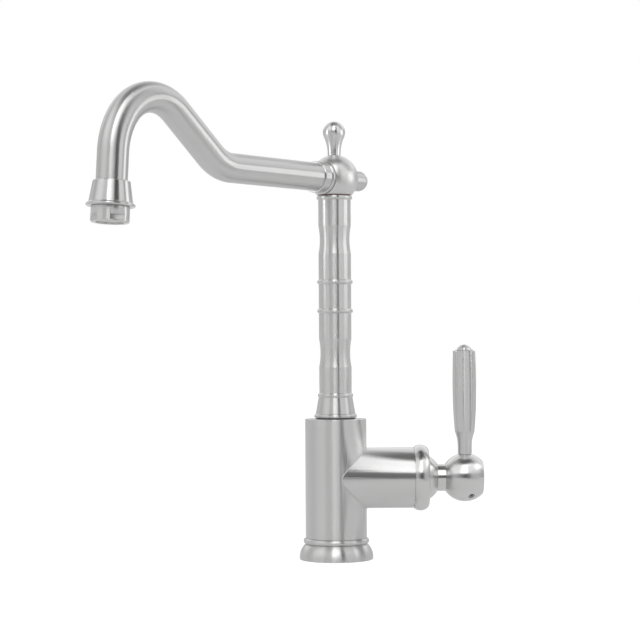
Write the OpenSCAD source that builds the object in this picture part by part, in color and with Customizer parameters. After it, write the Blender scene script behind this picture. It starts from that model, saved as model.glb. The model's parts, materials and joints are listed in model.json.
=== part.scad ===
// Single lever kitchen mixer tap with a turned column and a swan-neck spout.
// The origin is the middle of the foot's underside, on the axis of the column.
// +Z is up, +X runs along the side branch, and the spout swings about Z.

/* [Foot] */
// Largest diameter of the foot ring
foot_d = 57.8; // [57:0.1:62]
// Height of the foot ring, up to the seam under the body
foot_h = 16.8; // [15.8:0.1:18]
// Diameter across the bead on top of the foot
foot_bead_d = 51.6; // [51:0.1:53]
// Height of that bead
foot_bead_h = 4.6; // [4:0.1:5]
// Radius of the round flare between bead and edge
foot_flare_r = 13.5; // [12:0.1:15]
// Height of the upright edge under the flare
foot_land_h = 2; // [1.6:0.1:2.6]
// Rounding of the foot's bottom edge
foot_round = 0.8; // [0.6:0.1:1.4]
// Bore of the foot, for the hoses and studs
foot_bore_d = 39; // [36:0.5:40]
// Height of the upstand inside the body shell
upstand_h = 9.2; // [6:0.1:12]
// Width of the gasket in the foot's underside
gasket_w = 3.6; // [3:0.1:4]
// Thickness of the gasket
gasket_h = 2.5; // [1.5:0.1:3]

/* [Body] */
// Outer diameter of the upright body
body_d = 48.2; // [48:0.1:49.4]
// Outer diameter of the side branch
branch_d = 47.5; // [47:0.1:47.6]
// Wall of the body shell
shell_wall = 2.5; // [2.2:0.1:2.6]
// Height of the body's flat top
body_top = 110; // [108:0.5:120]
// Thickness of the plate that closes the body's top
top_wall = 2.6; // [2:0.1:3.4]
// Height of the branch's axis
branch_z = 63.4; // [63:0.2:66]
// Reach of the branch from the column's axis
branch_end = 61; // [60:0.5:66]

/* [Water ways] */
// Distance of the hot and the cold inlet from the middle plane
inlet_y = 8.5; // [8.3:0.1:9]
// Distance of the hot and the cold port from the middle plane
port_y = 6.2; // [6:0.1:6.5]
// Height of the hot and cold ports above the branch's axis
port_high = 2.6; // [2.4:0.1:2.8]
// Depth of the mixed water port below the branch's axis
port_low = 3.5; // [3.3:0.1:3.8]
// Diameter of the ports
port_d = 4.4; // [4:0.1:4.5]
// Diameter of the drilled upright hot and cold ways
way_d = 7; // [6.6:0.1:7.2]
// Diameter of the upright mixed water way
mixed_way_d = 7; // [6.4:0.1:7.4]
// Core diameter of an M10x1 inlet socket
inlet_d = 9; // [8.8:0.1:9.4]
// Depth of the inlet sockets
inlet_depth = 12; // [9:0.5:14]
// Core diameter of an M8 stud hole
stud_d = 6.8; // [6:0.1:7.2]
// Depth of the stud holes
stud_depth = 14; // [10:0.5:15]
// Distance of the stud holes from the axis
stud_x = 13; // [12.4:0.1:14]
// Place of the seat between core and cup, from the column's axis
seat_x = 16; // [15.5:0.1:16.4]
// Width of the seal rings round the ports
seal_w = 1.8; // [1.4:0.1:1.9]
// Thickness of the seal rings
seal_h = 1.7; // [1.4:0.1:2.2]
// Diameter of the two screws that hold the cup
cup_screw_d = 4; // [3:0.5:4]
// Distance of those screws from the middle plane
cup_screw_y = 10; // [9.6:0.1:10.4]
// Depth of those screws below the branch's axis
cup_screw_low = 7; // [6:0.1:8]
// How deep they reach into the core
cup_screw_depth = 7; // [5:0.5:8]

/* [Column] */
// Diameter of the shaft
shaft_d = 25.5; // [25:0.1:26.4]
// Smallest diameter of the waists
waist_d = 23.3; // [22.4:0.1:24.4]
// Diameter of the rings
ring_d = 28.1; // [27.4:0.1:28.4]
// Height of a ring
ring_h = 3.6; // [2.8:0.1:4]
// Length of one bay, from ring to ring or crease
bay_h = 22.1; // [20:0.1:24]
// Length of the middle bay
mid_bay_h = 22.8; // [21:0.1:25]
// Height of the lowest ring above the body
first_ring = 18.4; // [17:0.1:20]
// Diameter of the foot bead
column_foot_d = 33.7; // [32.6:0.1:35]
// Height of the foot bead
column_foot_h = 3.2; // [2.6:0.1:3.6]
// Diameter of the cone just above the foot bead
cone_d = 31.2; // [30:0.1:31.8]
// Thickness of the seal under the column
foot_seal_h = 0.7; // [0.5:0.1:1]
// Diameter of the threaded tail in the body
tail_d = 21.8; // [20:0.1:22.4]
// Depth of the tail in the valve core
tail_depth = 12; // [9:0.5:13]
// Bore of the column
column_bore_d = 18; // [16:0.5:18.5]
// Outer diameter of the riser tube inside
riser_d = 12; // [11.4:0.1:12.4]
// Wall of the riser tube
riser_wall = 1; // [0.8:0.1:1.4]
// Depth of the riser tube's seat in the valve core
riser_seat = 8; // [6:0.5:9]

/* [Swivel] */
// Diameter of the swivel spigot
spigot_d = 17.9; // [17.5:0.1:18.1]
// Length of the spigot above the column
spigot_h = 21.4; // [20.6:0.1:21.6]
// Diameter of the spigot's threaded lower end
spigot_tail_d = 15; // [14.4:0.1:15.6]
// Length of that lower end
spigot_tail_h = 17; // [14:0.5:20]
// Bore of the spigot
spigot_bore_d = 9.6; // [8.6:0.1:9.8]
// Radial clearance of the swivel
swivel_gap = 0.05; // [0.02:0.01:0.1]
// Thickness of a spigot seal ring
oring_t = 1.8; // [1.6:0.1:1.9]
// Width of the water groove round the spigot
groove_w = 5; // [4.6:0.1:5.4]
// Depth of the water groove
groove_depth = 1.75; // [1.4:0.05:1.8]
// Diameter of the windows in the groove
window_d = 4; // [3:0.1:4.2]
// Thickness of the washer under the ball
washer_h = 0.4; // [0.3:0.05:0.5]

/* [Ball head] */
// Diameter of the ball head
head_d = 37.6; // [36.6:0.1:38.4]
// Height of the ball's middle above the top of the column
head_rise = 13.3; // [13.1:0.1:13.6]
// Diameter of the water chamber inside
chamber_d = 21.2; // [20.6:0.1:21.4]
// Height of the water chamber
chamber_h = 7; // [6.4:0.1:7.6]
// Diameter of the finial's bulb
bulb_d = 17.5; // [16:0.1:19]
// Diameter of the finial's neck
finial_neck_d = 10.2; // [9.6:0.1:10.8]
// Height of the finial
finial_h = 27.3; // [25:0.1:30]
// Radius of the hollow curve between neck and bulb
finial_cove_r = 30; // [24:0.5:36]
// Diameter of the finial's stud
finial_stud_d = 5; // [4:0.5:6]
// Length of that stud
finial_stud_h = 5.5; // [4:0.5:6]
// Diameter of the rear knob
knob_d = 16; // [15:0.1:17]
// Length of the rear knob
knob_h = 21; // [17:0.1:22.6]
// Diameter of the rear knob's stud
knob_stud_d = 6; // [5:0.5:6.5]
// Diameter of its tip, which runs in the water groove
knob_tip_d = 3.6; // [3:0.1:3.8]

/* [Spout] */
// Direction of the spout at rest, counted from the branch
spout_angle = 230; // [0:5:355]
// Outer diameter of the tube
tube_d = 22; // [21.4:0.1:22.6]
// Wall of the tube
tube_wall = 1.2; // [1:0.1:1.5]
// Reach of the level run, from the column's axis
run_end = 122; // [105:1:140]
// Radius of the bend that turns the tube up
rise_r = 37; // [30:1:45]
// Angle of that bend
rise_angle = 38; // [30:1:44]
// Length of the rising straight
rise_len = 46; // [36:1:56]
// Radius of the arch
arch_r = 37; // [30:1:44]
// Angle of the arch
arch_angle = 92; // [84:1:98]
// Radius of the bend into the drop
drop_r = 51; // [40:1:60]
// Lean of the drop from plumb
lean = 4; // [0:0.5:6]
// Length of the straight drop
drop_len = 29.7; // [24:0.1:36]
// Diameter of the collar's bead at the ball
collar_bead_d = 26; // [25.4:0.1:26.2]
// Width of that bead
collar_bead_w = 3.6; // [3:0.1:4]
// Diameter of the collar
collar_d = 24.6; // [24.4:0.1:25.2]
// Reach of the collar from the column's axis
collar_end = 25; // [24:0.1:30]
// Depth of the tube's seat in the collar
collar_seat = 7.5; // [6:0.1:8]
// Diameter of the collar's boss in the ball
boss_d = 16; // [15.4:0.1:16.4]

/* [Outlet] */
// Diameter of the sleeve's upper end
sleeve_top_d = 26.2; // [25.6:0.1:27]
// Diameter of the cone's lower end
sleeve_low_d = 30.4; // [29.6:0.1:31]
// Length of the cone
sleeve_h = 14.6; // [13:0.1:17]
// Diameter of the thin lip
lip_d = 34.2; // [33.4:0.1:35.4]
// Thickness of the lip
lip_h = 2; // [1.6:0.1:2.4]
// Height of the curve between cone and lip
lip_rise = 1.4; // [1:0.1:1.8]
// Depth of the tube's seat in the sleeve
sleeve_seat = 10; // [8:0.1:11]
// Diameter of the aerator housing
aerator_d = 26.9; // [26.5:0.1:27.4]
// Length of the housing below the lip
aerator_h = 10.9; // [9.5:0.1:12]
// Diameter of its M24 thread
aerator_thread_d = 24; // [23.6:0.1:24.2]
// Number of spanner flats
flat_count = 4; // [2:2:6]
// Width of a spanner flat
flat_w = 10.6; // [8:0.1:11]
// Height of a spanner flat
flat_h = 3.4; // [2.4:0.1:4]
// Turn of the flats about the outlet
flat_turn = 20; // [0:5:90]
// Diameter of the perforated insert
insert_d = 21; // [20.4:0.1:21.2]
// Diameter of its holes
insert_hole_d = 1.7; // [1.2:0.1:2]
// Spacing of its holes
insert_pitch = 2.6; // [2.4:0.1:2.9]
// Number of hole rings round the middle hole
insert_rings = 3; // [1:1:3]

/* [Cartridge] */
// Diameter of the cartridge
cart_d = 34.9; // [34:0.1:35]
// Distance of the pivot from the end of the branch
pivot_out = 2.1; // [1.6:0.1:2.6]
// Distance from the cup's floor to the pivot
cart_h = 37.1; // [36.4:0.1:38]
// Diameter of the cartridge's neck
cart_neck_d = 24.8; // [24:0.1:25.2]
// Thickness of the fixed disc
fixed_disc_t = 4; // [3.4:0.1:4.4]
// Thickness of the moving disc
moving_disc_t = 3.2; // [2.6:0.1:3.6]
// Diameter of the moving disc
moving_disc_d = 24; // [23:0.1:24.1]
// Diameter of the hollow in the moving disc
hollow_d = 14; // [12:0.1:14.6]
// Thickness of the slider that carries it
holder_t = 5.4; // [5.3:0.1:6]
// Lift of the lever from shut to full flow, in degrees
lever_lift = 22; // [18:0.5:22]
// Outer diameter of the turret
turret_d = 19; // [18.6:0.1:19.4]
// Bore of the turret
turret_bore_d = 16.4; // [16.2:0.1:16.8]
// How far the turret reaches past the pivot
turret_out = 2.9; // [2.5:0.1:3.2]
// Diameter of the pivot pin
pin_d = 3; // [2.5:0.1:3.2]
// Side of the square lever bar
bar_w = 5.6; // [5:0.1:5.8]
// Diameter of the bar's ball end
bar_ball_d = 5.2; // [4.8:0.1:5.3]
// How far the bar reaches past the pivot, into the lever
bar_out = 17; // [15:0.5:19]
// Diameter of the nut's thread
nut_d = 38; // [37.6:0.1:38.4]
// Distance of the nut's seat from the end of the branch
nut_in = 8.5; // [8.2:0.1:9]
// Height of the nut's thread
nut_h = 4; // [3.4:0.1:4.4]
// Width of the nut's hexagon
nut_hex = 27; // [26.4:0.1:27.4]
// Height of the hexagon
nut_hex_h = 4; // [3:0.1:4.4]

/* [Bead ring] */
// Largest diameter of the bead ring
bead_d = 51.8; // [51:0.1:53]
// Width of the bead ring
bead_w = 11.6; // [11.2:0.1:12.4]
// Radius of its round outer face
bead_round = 8.1; // [7.6:0.1:9]
// Distance of its widest place from the end of the branch
bead_middle = 5.2; // [5:0.1:5.8]

/* [Lever] */
// Radius of the dome round the pivot
dome_r = 19.7; // [19.4:0.1:19.8]
// Wall of the dome
dome_wall = 2.5; // [2.2:0.1:2.6]
// Angle of the dome's rim from the branch's axis
dome_angle = 82; // [78:1:84]
// Distance from the pivot to the ball of the lever
hub_reach = 38.4; // [38:0.2:42]
// Diameter of the lever's neck
hub_neck_d = 21.2; // [20:0.1:22]
// Diameter of the lever's ball
hub_d = 37.8; // [36.6:0.1:38.4]
// Distance from the ball's middle to its blunt end
hub_end = 14.8; // [14:0.1:16]
// Radius of the blunt end's crown
hub_crown_r = 87; // [60:1:120]
// Rounding between ball and blunt end
hub_round = 2; // [1:0.1:3]
// Diameter of the rod from the spindle into the ball
adaptor_d = 10; // [9.6:0.1:10.4]
// Distance of that rod's near end from the pivot
adaptor_near = 9; // [8.6:0.1:9.6]
// Diameter of the grub screw
grub_d = 5; // [4:0.1:6]
// Length of the grub screw
grub_h = 12; // [8:0.5:12]
// Width of the hexagon sockets in the screws
hex_key = 2.5; // [2:0.5:3]
// Offset of the grub screw from the ball's middle, outward
grub_x = 4; // [2:0.1:5]
// Angle of the grub screw from straight down, to the front
grub_angle = 41; // [0:1:60]
// Diameter of the handle's stem
stem_d = 11.1; // [10.4:0.1:11.6]
// Widest diameter of the handle
stick_d = 18.9; // [18.2:0.1:19.4]
// Height of the handle's top above the ball's middle
stick_top = 99.6; // [94:0.1:106]
// Height of the crease where the flutes start
crease_h = 35.7; // [34:0.1:38]
// Height of the widest place
widest_h = 72; // [70:0.5:78]
// Height where the upper and lower curves of the barrel meet
barrel_split_h = 64; // [60:0.5:66]
// Radius of the barrel's upper curve
barrel_upper_r = 800; // [600:10:900]
// Radius of the barrel's lower curve
barrel_lower_r = 290; // [260:2:320]
// Radius of the hollow curve between stem and crease
stem_cove_r = 28; // [24:0.5:34]
// Number of flutes
flute_count = 8; // [6:1:10]
// Depth of a flute at the widest place
flute_depth = 1.4; // [1:0.1:1.5]
// Radius of a flute's hollow
flute_r = 10.5; // [9:0.5:12]
// Radius of the curve that a flute follows up the handle
flute_path_r = 622; // [560:2:700]
// Diameter of the threaded rod in the handle
rod_d = 6; // [5:0.1:6.4]
// Diameter of the button's rim on top
cap_rim_d = 13.8; // [13:0.1:15]
// Height of that rim
cap_rim_h = 0.9; // [0.7:0.1:1.2]
// Diameter of the button's dome
cap_d = 12; // [11.4:0.1:12.4]
// Height of the whole button
cap_h = 4.8; // [4.4:0.1:6]

/* [Fits] */
// Radial clearance of pieces that seat in each other
fit = 0.05; // [0.03:0.01:0.08]
// Gap between covers that move past each other
run_gap = 0.3; // [0.25:0.05:0.35]
// Gap between the sliding parts of the cartridge
slide_gap = 0.15; // [0.1:0.05:0.2]
// Gap between the two ceramic discs
disc_gap = 0.05; // [0.03:0.01:0.1]
// Radial clearance of the cartridge in its cup
cup_gap = 0.15; // [0.1:0.05:0.2]
// Room left at the end of a blind hole
end_gap = 0.5; // [0.3:0.1:0.8]

/* [Hidden] */
$fn = 96;
past = 1;             // how far a cut runs past a face
far = 400;            // longer than any piece
fine_fn = 720;        // facets of the long, flat curves

shell_bore_r = body_d / 2 - shell_wall;
branch_bore_r = branch_d / 2 - shell_wall - fit;
core_r = shell_bore_r - fit;
core_low = foot_h + upstand_h;
core_top = body_top - top_wall;
gasket_r = foot_bore_d / 2 + (foot_d - foot_bore_d) / 4 - gasket_w / 2;
cup_r = branch_bore_r - fit;
tail_low = core_top - tail_depth;
riser_low = tail_low - riser_seat;

// Places along the branch, counted from the column's axis
pivot_x = branch_end + pivot_out;
floor_x = pivot_x - cart_h;
base_x = floor_x + run_gap;
nut_x = branch_end - nut_in;
cup_end = nut_x + nut_h;
housing_wall = 1.5;     // end wall of the housing
housing_side = 1.95;    // its side wall
housing_in = 1;         // how far its neck ends short of the pivot
flange_t = 2;           // thickness of the turret's flange
flange_in = 0.7;        // radial room round that flange
flange_x = nut_x - housing_wall - slide_gap - flange_t;
holder_x = flange_x - slide_gap - holder_t;
moving_x = holder_x - moving_disc_t;
fixed_x = moving_x - disc_gap - fixed_disc_t;
housing_end = pivot_x - housing_in;
turret_end = pivot_x + turret_out;
disc_chamber_r = cart_d / 2 - housing_side;
nut_hex_r = nut_hex / 2 / cos(30);
bar_ball_x = holder_x + holder_t / 2;
bar_arm = pivot_x - bar_ball_x;
bar_back = 7;           // how far the square bar reaches back from the pivot
bar_neck_d = 4;         // the round neck between bar and ball end
disc_travel = bar_arm * sin(lever_lift);
sweep_r = disc_travel + bar_ball_d / 2 + slide_gap;
sweep_x = pivot_x - bar_arm * cos(lever_lift) + bar_ball_d / 2 + slide_gap;
rib_w = 1.8;            // the two ribs that guide the slider
rib_half = 7.5;
holder_flat_y = moving_disc_d / 2 - rib_w;
bar_end = pivot_x + bar_out;
hub_x = pivot_x + hub_reach;
adaptor_past = 8;       // how far the rod runs past the ball's middle
adaptor_end = hub_x + adaptor_past;
adaptor_x = pivot_x + adaptor_near;
dome_rim_x = pivot_x + dome_r * cos(dome_angle);
ring_bore_r = dome_r + run_gap;
bead_tail = branch_end - cup_end - run_gap;

// The ports as [down, across] places on the branch's end plane
PORTS = [[-port_high, -port_y], [-port_high, port_y], [port_low, 0]];
SCREWS = [[cup_screw_low, -cup_screw_y], [cup_screw_low, cup_screw_y]];
port_r = port_d / 2;
seal_r = port_r + seal_w;

// Heights on the column: three bays, the middle bay and three more bays
function ring_z(k) = ring0_z + k * bay_h + (k > 3 ? mid_bay_h - bay_h : 0);
column_low = body_top + foot_seal_h;
ring0_z = body_top + first_ring;
column_top = ring_z(7) + ring_h / 2;
head_z = column_top + head_rise;
washer_gap = 0.1;       // room between the washer and the turning ball
head_low = column_top + washer_h + washer_gap;
head_r = head_d / 2;
spigot_r = spigot_d / 2;
spigot_top = column_top + spigot_h;
spigot_low = column_top - spigot_tail_h;
riser_in = 5;           // depth of the riser tube in the spigot
riser_top = spigot_low + riser_in;
head_bore_r = spigot_r + swivel_gap;
collar_face = sqrt(pow(head_r, 2) - pow(collar_bead_d / 2, 2));
knob_rim = 0.2;         // the flats under knob and finial are this much wider
seat_rim = 0.4;
knob_face = sqrt(pow(head_r, 2) - pow(knob_d / 2 + knob_rim, 2));
finial_flat_r = finial_neck_d / 2 + seat_rim;
finial_z = head_z + sqrt(pow(head_r, 2) - pow(finial_flat_r, 2));
tube_start = collar_end - collar_seat;
drop_angle = 90 - lean + rise_angle - arch_angle;

// Places along the outlet, counted from the tube's end
sleeve_low = sleeve_h - sleeve_seat;
sleeve_round = 1.2;
lip_low = sleeve_low + lip_rise + lip_h;
rib_low = 1.2;          // thickness of the rib that the gasket seats on
gasket_t = 1.2;
thread_top = rib_low + gasket_t;
lip_gap = 0.15;         // open seam between lip and housing
aerator_top = lip_low + lip_gap;
aerator_low = aerator_top + aerator_h;
insert_in = 0.8;        // room between gasket and insert
rim_h = 1.6;            // height of the inward rim that holds the insert
rim_w = 0.8;            // its width
insert_low = aerator_low - rim_h;

// Curves of the handle, as places [radius, height]
stem_rim = 0.35;        // the flat under the stem is this much wider
barrel_upper = [stick_d / 2 - barrel_upper_r, widest_h];
split_angle = asin((barrel_split_h - widest_h) / barrel_upper_r);
barrel_lower = barrel_upper + (barrel_upper_r - barrel_lower_r) * [cos(split_angle), sin(split_angle)];
crease_r = barrel_lower[0] + sqrt(pow(barrel_lower_r, 2) - pow(crease_h - barrel_lower[1], 2));
cove_h = crease_h - sqrt(pow(stem_cove_r, 2) - pow(stem_d / 2 + stem_cove_r - crease_r, 2));
stem_flat_r = stem_d / 2 + stem_rim;
stem_low = sqrt(pow(hub_d / 2, 2) - pow(stem_flat_r, 2));
rod_gap = 1.6;          // wall between the two rods' holes
rod_past = 2.4;         // how far the rod stands out of the handle
rod_low = adaptor_d / 2 + fit + rod_gap;
flute_axis_r = stick_d / 2 - flute_depth + flute_r;

// A turned piece: the half of a profile right of the axis, spun about Z
module turned() {
    rotate_extrude() intersection() {
        children();
        translate([0, -far]) square([far, 2 * far]);
    }
}

// Profile of a disc whose outer edge is a full round
module bead_profile(r, h, low) {
    translate([0, low]) square([r - h / 2, h]);
    translate([r - h / 2, low + h / 2]) circle(d = h);
}

// Profile of a plain disc or ring
module ring_profile(inner, outer, low, high) {
    translate([inner, low]) square([outer - inner, high - low]);
}

// Frame of the branch: Z runs outward along it and X points down
module on_branch() { translate([0, 0, branch_z]) rotate([0, 90, 0]) children(); }

// Frame of the spout's upright plane: X points outward from the column
module on_spout() { rotate([0, 0, spout_angle]) children(); }

// Frame on the middle of the lever's ball
module on_hub() { translate([hub_x, 0, branch_z]) children(); }

module base_flange() {
    color("silver") turned() difference() {
        union() {
            translate([0, foot_round]) square([foot_d / 2, foot_land_h - foot_round]);
            square([foot_d / 2 - foot_round, foot_land_h]);
            translate([foot_d / 2 - foot_round, foot_round]) circle(foot_round);
            intersection() {
                translate([foot_d / 2 - foot_flare_r, foot_land_h]) circle(foot_flare_r);
                ring_profile(0, foot_d, foot_land_h, foot_h - foot_bead_h);
            }
            bead_profile(foot_bead_d / 2, foot_bead_h, foot_h - foot_bead_h);
            ring_profile(0, shell_bore_r - fit, 0, core_low);
        }
        ring_profile(0, foot_bore_d / 2, -past, core_low + past);
        ring_profile(gasket_r, gasket_r + gasket_w, -past, gasket_h);
    }
}

module base_gasket() {
    color("dimgray") turned() ring_profile(gasket_r + fit, gasket_r + gasket_w - fit, 0, gasket_h);
}

module body_shell() {
    color("silver") difference() {
        union() {
            translate([0, 0, foot_h]) cylinder(d = body_d, h = body_top - foot_h);
            on_branch() cylinder(d = branch_d, h = branch_end);
        }
        translate([0, 0, foot_h - past]) cylinder(r = shell_bore_r, h = core_top - foot_h + past);
        on_branch() cylinder(r = branch_bore_r, h = branch_end + past);
        translate([0, 0, core_top - past]) cylinder(r = tail_d / 2 + fit, h = top_wall + 2 * past);
    }
}

module valve_core() {
    color("goldenrod") difference() {
        translate([0, 0, core_low]) cylinder(r = core_r, h = core_top - core_low);
        on_branch() translate([0, 0, seat_x]) cylinder(r = cup_r + fit, h = core_r);
        for (side = [-1, 1]) {
            translate([0, side * inlet_y, core_low - past])
                cylinder(d = inlet_d, h = inlet_depth + past);
            translate([0, side * inlet_y, core_low])
                cylinder(d = way_d, h = branch_z + port_high + way_d / 2 - core_low);
            translate([side * stud_x, 0, core_low - past])
                cylinder(d = stud_d, h = stud_depth + past);
        }
        on_branch() for (p = PORTS) translate([p[0], p[1], 0]) cylinder(r = port_r, h = seat_x + past);
        on_branch() for (p = SCREWS) translate([p[0], p[1], seat_x - cup_screw_depth])
            cylinder(d = cup_screw_d + 2 * fit, h = cup_screw_depth + past);
        translate([0, 0, branch_z - port_low - mixed_way_d / 2])
            cylinder(d = mixed_way_d, h = riser_low - branch_z + port_low + mixed_way_d);
        translate([0, 0, riser_low]) cylinder(d = riser_d + 2 * fit, h = core_top);
        translate([0, 0, tail_low]) cylinder(d = tail_d + 2 * fit, h = core_top);
    }
}

// The shank and the countersunk head, shared by the screws and their holes
module cup_screw_shape(low, gap) {
    r = cup_screw_d / 2;
    translate([0, 0, low]) cylinder(r = r + gap, h = floor_x - low);
    translate([0, 0, floor_x - r]) cylinder(r1 = r + gap, r2 = 2 * r + gap, h = r);
}

module cartridge_cup() {
    color("goldenrod") on_branch() difference() {
        translate([0, 0, seat_x]) cylinder(r = cup_r, h = cup_end - seat_x);
        translate([0, 0, floor_x]) cylinder(r = cart_d / 2 + cup_gap, h = far);
        translate([0, 0, nut_x]) cylinder(r = nut_d / 2 + fit, h = far);
        for (p = PORTS) translate([p[0], p[1], seat_x - past]) {
            cylinder(r = port_r, h = floor_x - seat_x + 2 * past);
            cylinder(r = seal_r + fit, h = seal_h + past);
        }
        for (p = SCREWS) translate([p[0], p[1], 0]) cup_screw_shape(seat_x - past, fit);
    }
}

module cup_screws() {
    socket_depth = 1.6;
    color("silver") on_branch() for (p = SCREWS) translate([p[0], p[1], 0]) difference() {
        cup_screw_shape(seat_x - cup_screw_depth + end_gap, 0);
        translate([0, 0, floor_x - socket_depth])
            cylinder(d = hex_key / cos(30), h = socket_depth + past, $fn = 6);
    }
}

// Three seal rings from one height along the branch
module seal_set(x, h) {
    on_branch() for (p = PORTS) translate([p[0], p[1], x])
        turned() ring_profile(port_r, seal_r, 0, h);
}

module port_seals() { color("dimgray") seal_set(seat_x, seal_h); }

module cartridge_seals() { color("dimgray") seal_set(floor_x, seal_h + run_gap); }

module cartridge_base() {
    color("whitesmoke") on_branch() difference() {
        translate([0, 0, base_x]) cylinder(d = cart_d, h = fixed_x - base_x);
        for (p = PORTS) translate([p[0], p[1], base_x - past]) {
            cylinder(r = port_r, h = fixed_x - base_x + 2 * past);
            cylinder(r = seal_r + fit, h = seal_h + past);
        }
    }
}

module cartridge_housing() {
    color("gray") on_branch() turned() difference() {
        union() {
            ring_profile(0, cart_d / 2, fixed_x, nut_x);
            ring_profile(0, cart_neck_d / 2, nut_x, housing_end);
        }
        ring_profile(0, disc_chamber_r, fixed_x - past, nut_x - housing_wall);
        ring_profile(0, turret_d / 2 + swivel_gap, fixed_x, housing_end + past);
    }
}

module fixed_disc() {
    color("white") on_branch() difference() {
        translate([0, 0, fixed_x]) cylinder(r = disc_chamber_r - fit, h = fixed_disc_t);
        for (p = PORTS) translate([p[0], p[1], fixed_x - past])
            cylinder(r = port_r, h = fixed_disc_t + 2 * past);
    }
}

// The moving disc and its slider lie half the travel below the axis while the tap is shut
module on_slider() { on_branch() translate([disc_travel / 2, 0, 0]) children(); }

module moving_disc() {
    color("white") on_slider() difference() {
        translate([0, 0, moving_x]) cylinder(d = moving_disc_d, h = moving_disc_t);
        translate([port_low, 0, moving_x - past]) cylinder(d = hollow_d, h = moving_disc_t / 2 + past);
    }
}

module disc_holder() {
    color("gray") difference() {
        on_slider() intersection() {
            translate([0, 0, holder_x]) cylinder(d = moving_disc_d, h = holder_t);
            translate([-far / 2, -holder_flat_y, 0]) cube([far, 2 * holder_flat_y, far]);
        }
        on_branch() translate([0, 0, holder_x - past])
            cylinder(d = bar_ball_d + 2 * slide_gap, h = holder_t + 2 * past);
    }
}

module turret() {
    color("gray") on_branch() difference() {
        union() {
            translate([0, 0, flange_x]) cylinder(r = disc_chamber_r - flange_in, h = flange_t);
            translate([0, 0, flange_x]) cylinder(d = turret_d, h = turret_end - flange_x);
            for (side = [0, 1]) mirror([0, side, 0])
                translate([-rib_half, holder_flat_y + slide_gap, holder_x + slide_gap])
                    cube([2 * rib_half, rib_w, flange_x - holder_x]);
        }
        translate([0, 0, holder_x]) cylinder(d = turret_bore_d, h = far);
        translate([0, 0, holder_x]) cylinder(r = sweep_r, h = sweep_x - holder_x);
        translate([0, 0, pivot_x]) rotate([90, 0, 0]) cylinder(d = pin_d + 2 * fit, h = far, center = true);
    }
}

module pivot_pin() {
    pin_in = 0.1;
    color("silver") on_branch() translate([0, 0, pivot_x]) rotate([90, 0, 0])
        cylinder(d = pin_d, h = turret_d - 2 * pin_in, center = true);
}

module cartridge_nut() {
    color("goldenrod") on_branch() difference() {
        union() {
            translate([0, 0, nut_x]) cylinder(d = nut_d, h = nut_h);
            translate([0, 0, nut_x]) cylinder(r = nut_hex_r, h = nut_h + nut_hex_h, $fn = 6);
        }
        translate([0, 0, nut_x - past]) cylinder(d = cart_neck_d + 2 * slide_gap, h = far);
    }
}

module bead_ring() {
    middle = branch_end + bead_middle;
    color("silver") on_branch() turned() difference() {
        union() {
            intersection() {
                translate([bead_d / 2 - bead_round, middle]) circle(bead_round);
                ring_profile(bead_d / 2 - bead_round, bead_d, branch_end, branch_end + bead_w);
            }
            ring_profile(0, bead_d / 2 - bead_round, branch_end, branch_end + bead_w);
            ring_profile(0, branch_bore_r - fit, branch_end - bead_tail, branch_end + past);
        }
        translate([0, pivot_x]) circle(ring_bore_r);
        ring_profile(0, ring_bore_r, -far, pivot_x);
    }
}

module spindle() {
    color("silver") difference() {
        on_branch() union() {
            translate([-bar_w / 2, -bar_w / 2, pivot_x - bar_back])
                cube([bar_w, bar_w, bar_end - pivot_x + bar_back]);
            translate([0, 0, bar_ball_x]) cylinder(d = bar_neck_d, h = bar_arm - bar_back + past);
            translate([0, 0, bar_ball_x]) sphere(d = bar_ball_d);
        }
        on_branch() translate([0, 0, pivot_x]) rotate([90, 0, 0])
            cylinder(d = pin_d + 2 * fit, h = far, center = true);
    }
}

module spindle_adaptor() {
    hole = bar_w + 2 * fit;
    color("goldenrod") on_branch() difference() {
        translate([0, 0, adaptor_x]) cylinder(d = adaptor_d, h = adaptor_end - adaptor_x);
        translate([-hole / 2, -hole / 2, adaptor_x - past])
            cube([hole, hole, bar_end + end_gap - adaptor_x + past]);
    }
}

// The lever's ball with its blunt, slightly crowned end and a rounded edge between them
module hub_ball_profile() {
    r = hub_d / 2;
    crown_x = hub_x + hub_end - hub_crown_r;
    reach = hub_x - crown_x;
    a = (pow(reach, 2) + pow(hub_crown_r - hub_round, 2) - pow(r - hub_round, 2)) / (2 * reach);
    corner = [sqrt(pow(hub_crown_r - hub_round, 2) - pow(a, 2)), crown_x + a];
    from_ball = corner - [0, hub_x];
    from_crown = corner - [0, crown_x];
    outside = corner + [r / 2, r / 2];
    difference() {
        intersection() {
            translate([0, hub_x]) circle(r);
            translate([0, crown_x]) circle(hub_crown_r, $fn = fine_fn);
        }
        polygon([corner, corner + from_ball / 2, outside, corner + from_crown / 10]);
    }
    translate(corner) circle(hub_round);
}

module lever_hub() {
    color("silver") difference() {
        on_branch() turned() difference() {
            union() {
                intersection() {
                    translate([0, pivot_x]) circle(dome_r);
                    ring_profile(0, far, dome_rim_x, hub_x);
                }
                ring_profile(0, hub_neck_d / 2, pivot_x, hub_x);
                hub_ball_profile();
            }
            translate([0, pivot_x]) circle(dome_r - dome_wall);
            ring_profile(0, adaptor_d / 2 + fit, pivot_x, adaptor_end + end_gap);
        }
        on_hub() translate([0, 0, stem_low]) cylinder(r = stem_flat_r + past, h = hub_d / 2);
        on_hub() translate([0, 0, rod_low - end_gap]) cylinder(d = rod_d + 2 * fit, h = stem_low);
        on_hub() grub_frame() translate([0, 0, adaptor_d / 2 - past]) cylinder(d = grub_d, h = hub_d / 2);
    }
}

// Frame of the grub screw: Z runs outward from the rod to the front and down
module grub_frame() { translate([grub_x, 0, 0]) rotate([180 - grub_angle, 0, 0]) children(); }

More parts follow.
